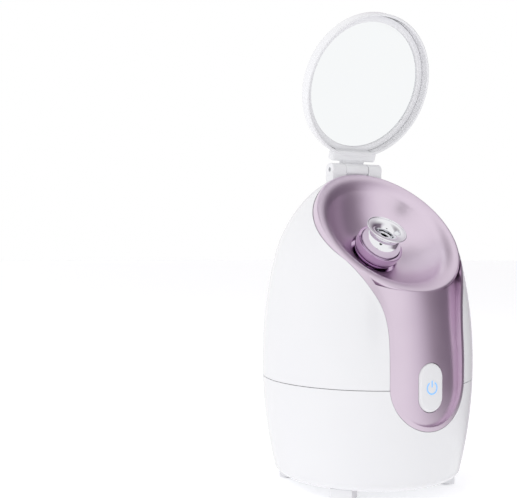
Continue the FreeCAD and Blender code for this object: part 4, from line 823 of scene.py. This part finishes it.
# ---------------------------------------------------------------- repeated pieces
def repeat_tree():
    """Geometry nodes: copies of one unit on points, turned in steps and by a seeded chance."""
    tree = bpy.data.node_groups.new("repeat on points", "GeometryNodeTree")
    for name, kind in (("Points", "NodeSocketGeometry"), ("Unit", "NodeSocketObject"),
                       ("Turn Step", "NodeSocketFloat"), ("Random Turn", "NodeSocketFloat"),
                       ("Seed", "NodeSocketInt"), ("Material", "NodeSocketMaterial")):
        tree.interface.new_socket(name, in_out="INPUT", socket_type=kind)
    tree.interface.new_socket("Geometry", in_out="OUTPUT", socket_type="NodeSocketGeometry")
    given = add(tree, "NodeGroupInput").outputs
    unit = add(tree, "GeometryNodeObjectInfo", {"Object": given["Unit"]})
    chance = add(tree, "FunctionNodeRandomValue", {3: given["Random Turn"], "Seed": given["Seed"]},
                 data_type="FLOAT")
    index = add(tree, "GeometryNodeInputIndex")
    turn = add(tree, "ShaderNodeMath", {0: index.outputs[0], 1: given["Turn Step"],
                                        2: chance.outputs[1]}, operation="MULTIPLY_ADD")
    rotation = add(tree, "ShaderNodeCombineXYZ", {"Z": turn.outputs[0]})
    placed = add(tree, "GeometryNodeInstanceOnPoints",
                 {"Points": given["Points"], "Instance": unit.outputs["Geometry"],
                  "Rotation": rotation.outputs[0]})
    real = add(tree, "GeometryNodeRealizeInstances", {"Geometry": placed.outputs["Instances"]})
    dressed = add(tree, "GeometryNodeSetMaterial",
                  {"Geometry": real.outputs[0], "Material": given["Material"]})
    add(tree, "NodeGroupOutput", {"Geometry": dressed.outputs[0]})
    return tree


def repeated(tree, unit, places, slot, turn_step=0.0, random_turn=0.0, seed=7):
    """A bmesh that holds one unit at every place, made by the geometry tree."""
    unit_data = bpy.data.meshes.new("unit")
    unit.to_mesh(unit_data)
    unit.free()
    points = bpy.data.meshes.new("places")
    points.from_pydata(places, [], [])
    helpers = [bpy.data.objects.new(data.name, data) for data in (unit_data, points)]
    for helper in helpers:
        bpy.context.scene.collection.objects.link(helper)
    carrier = helpers[1]
    modifier = carrier.modifiers.new("repeat", "NODES")
    modifier.node_group = tree
    chosen = {"Unit": helpers[0], "Turn Step": turn_step, "Random Turn": random_turn,
              "Seed": seed, "Material": FINISHES[slot]}
    for item in tree.interface.items_tree:
        if item.name in chosen:
            modifier[item.identifier] = chosen[item.name]
    graph = bpy.context.evaluated_depsgraph_get()
    baked = bpy.data.meshes.new_from_object(carrier.evaluated_get(graph))
    carrier.modifiers.remove(modifier)
    whole = bmesh.new()
    whole.from_mesh(baked)
    for helper in helpers:
        bpy.data.objects.remove(helper)
    for data in (unit_data, points, baked):
        bpy.data.meshes.remove(data)
    return whole


def cross_screw(head, shank, head_low, head_top, tip, sides=96):
    """A screw that points up, with a cross recess in its head's lower face."""
    arm = head * 0.62
    half_arm = head * 0.17
    recess = (head_top - head_low) * 0.55
    narrowing = 0.55
    crown = 0.35 * MM

    def cross(turn):
        lean = (turn + math.pi / 4) % (math.pi / 2) - math.pi / 4
        return min(arm / math.cos(lean), half_arm / max(abs(math.sin(lean)), TINY))

    rows = [(lambda turn: cross(turn) * narrowing, head_low + recess), (cross, head_low)]
    rows += [(lambda turn, r=r: r, z) for r, z in (
        (head - crown, head_low), (head - 0.3 * crown, head_low + 0.3 * crown),
        (head, head_low + crown), (head, head_top), (shank, head_top), (shank, tip - shank),
        (0.3 * shank, tip))]
    turns = [2 * math.pi * n / sides for n in range(sides)]
    bm = bmesh.new()
    skin(bm, [[bm.verts.new((radius(turn) * math.cos(turn), radius(turn) * math.sin(turn), z))
               for turn in turns] for radius, z in rows])
    return bm


def make_screws(tree):
    """The base screws, each stopped at its own angle."""
    low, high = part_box("base_screws")
    head = 2.8 * MM
    shank = 1.5 * MM
    head_height = 2 * MM
    places = [(x * (high.x - head), y * (high.y - head), 0)
              for x, y in ((1, 1), (-1, 1), (-1, -1), (1, -1))]
    unit = cross_screw(head, shank, low.z, low.z + head_height, high.z)
    screws = repeated(tree, unit, places, "steel", random_turn=math.pi)
    finished(screws, "base_screw_set", "root", "steel", ["base_screws"])


def make_cap_ribs(tree):
    """Grip ribs round the tank's cap."""
    low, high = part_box("tank_cap")
    middle = (low + high) / 2
    radius = (high.x - low.x) / 2
    count = 30
    step = 2 * math.pi / count
    proud = 0.25 * MM
    sunk = 0.3 * MM
    half = 0.35 * MM
    unit = soft_box((-sunk, -half, low.z + 0.3 * MM), (proud, half, low.z + 2.4 * MM), 0.2 * MM, 3)
    places = [(middle.x + radius * math.cos(step * n), middle.y + radius * math.sin(step * n), 0)
              for n in range(count)]
    ribs = repeated(tree, unit, places, "white_inner", turn_step=step)
    finished(ribs, "cap_grip_ribs", "cap", "white_inner")


make_camera()
make_world()
make_floor()
make_light("key", -RIGHT * 0.7 - FORWARD * 0.55 + Z_AXIS * 0.75, 0.9, 3.3)
make_light("fill", RIGHT * 0.8 - FORWARD * 0.25 + Z_AXIS * 0.6, 0.8, 0.2)
make_light("top", Z_AXIS * 1.1 + FORWARD * 0.3, 1.0, 1.2)
bpy.context.scene.view_settings.view_transform = "Standard"
FINISHES = make_finishes()
dress_packed_nodes(FINISHES)
make_bowl()
make_nozzle()
make_collar()
make_lid()
make_button()
REPEAT = repeat_tree()
make_screws(REPEAT)
make_cap_ribs(REPEAT)
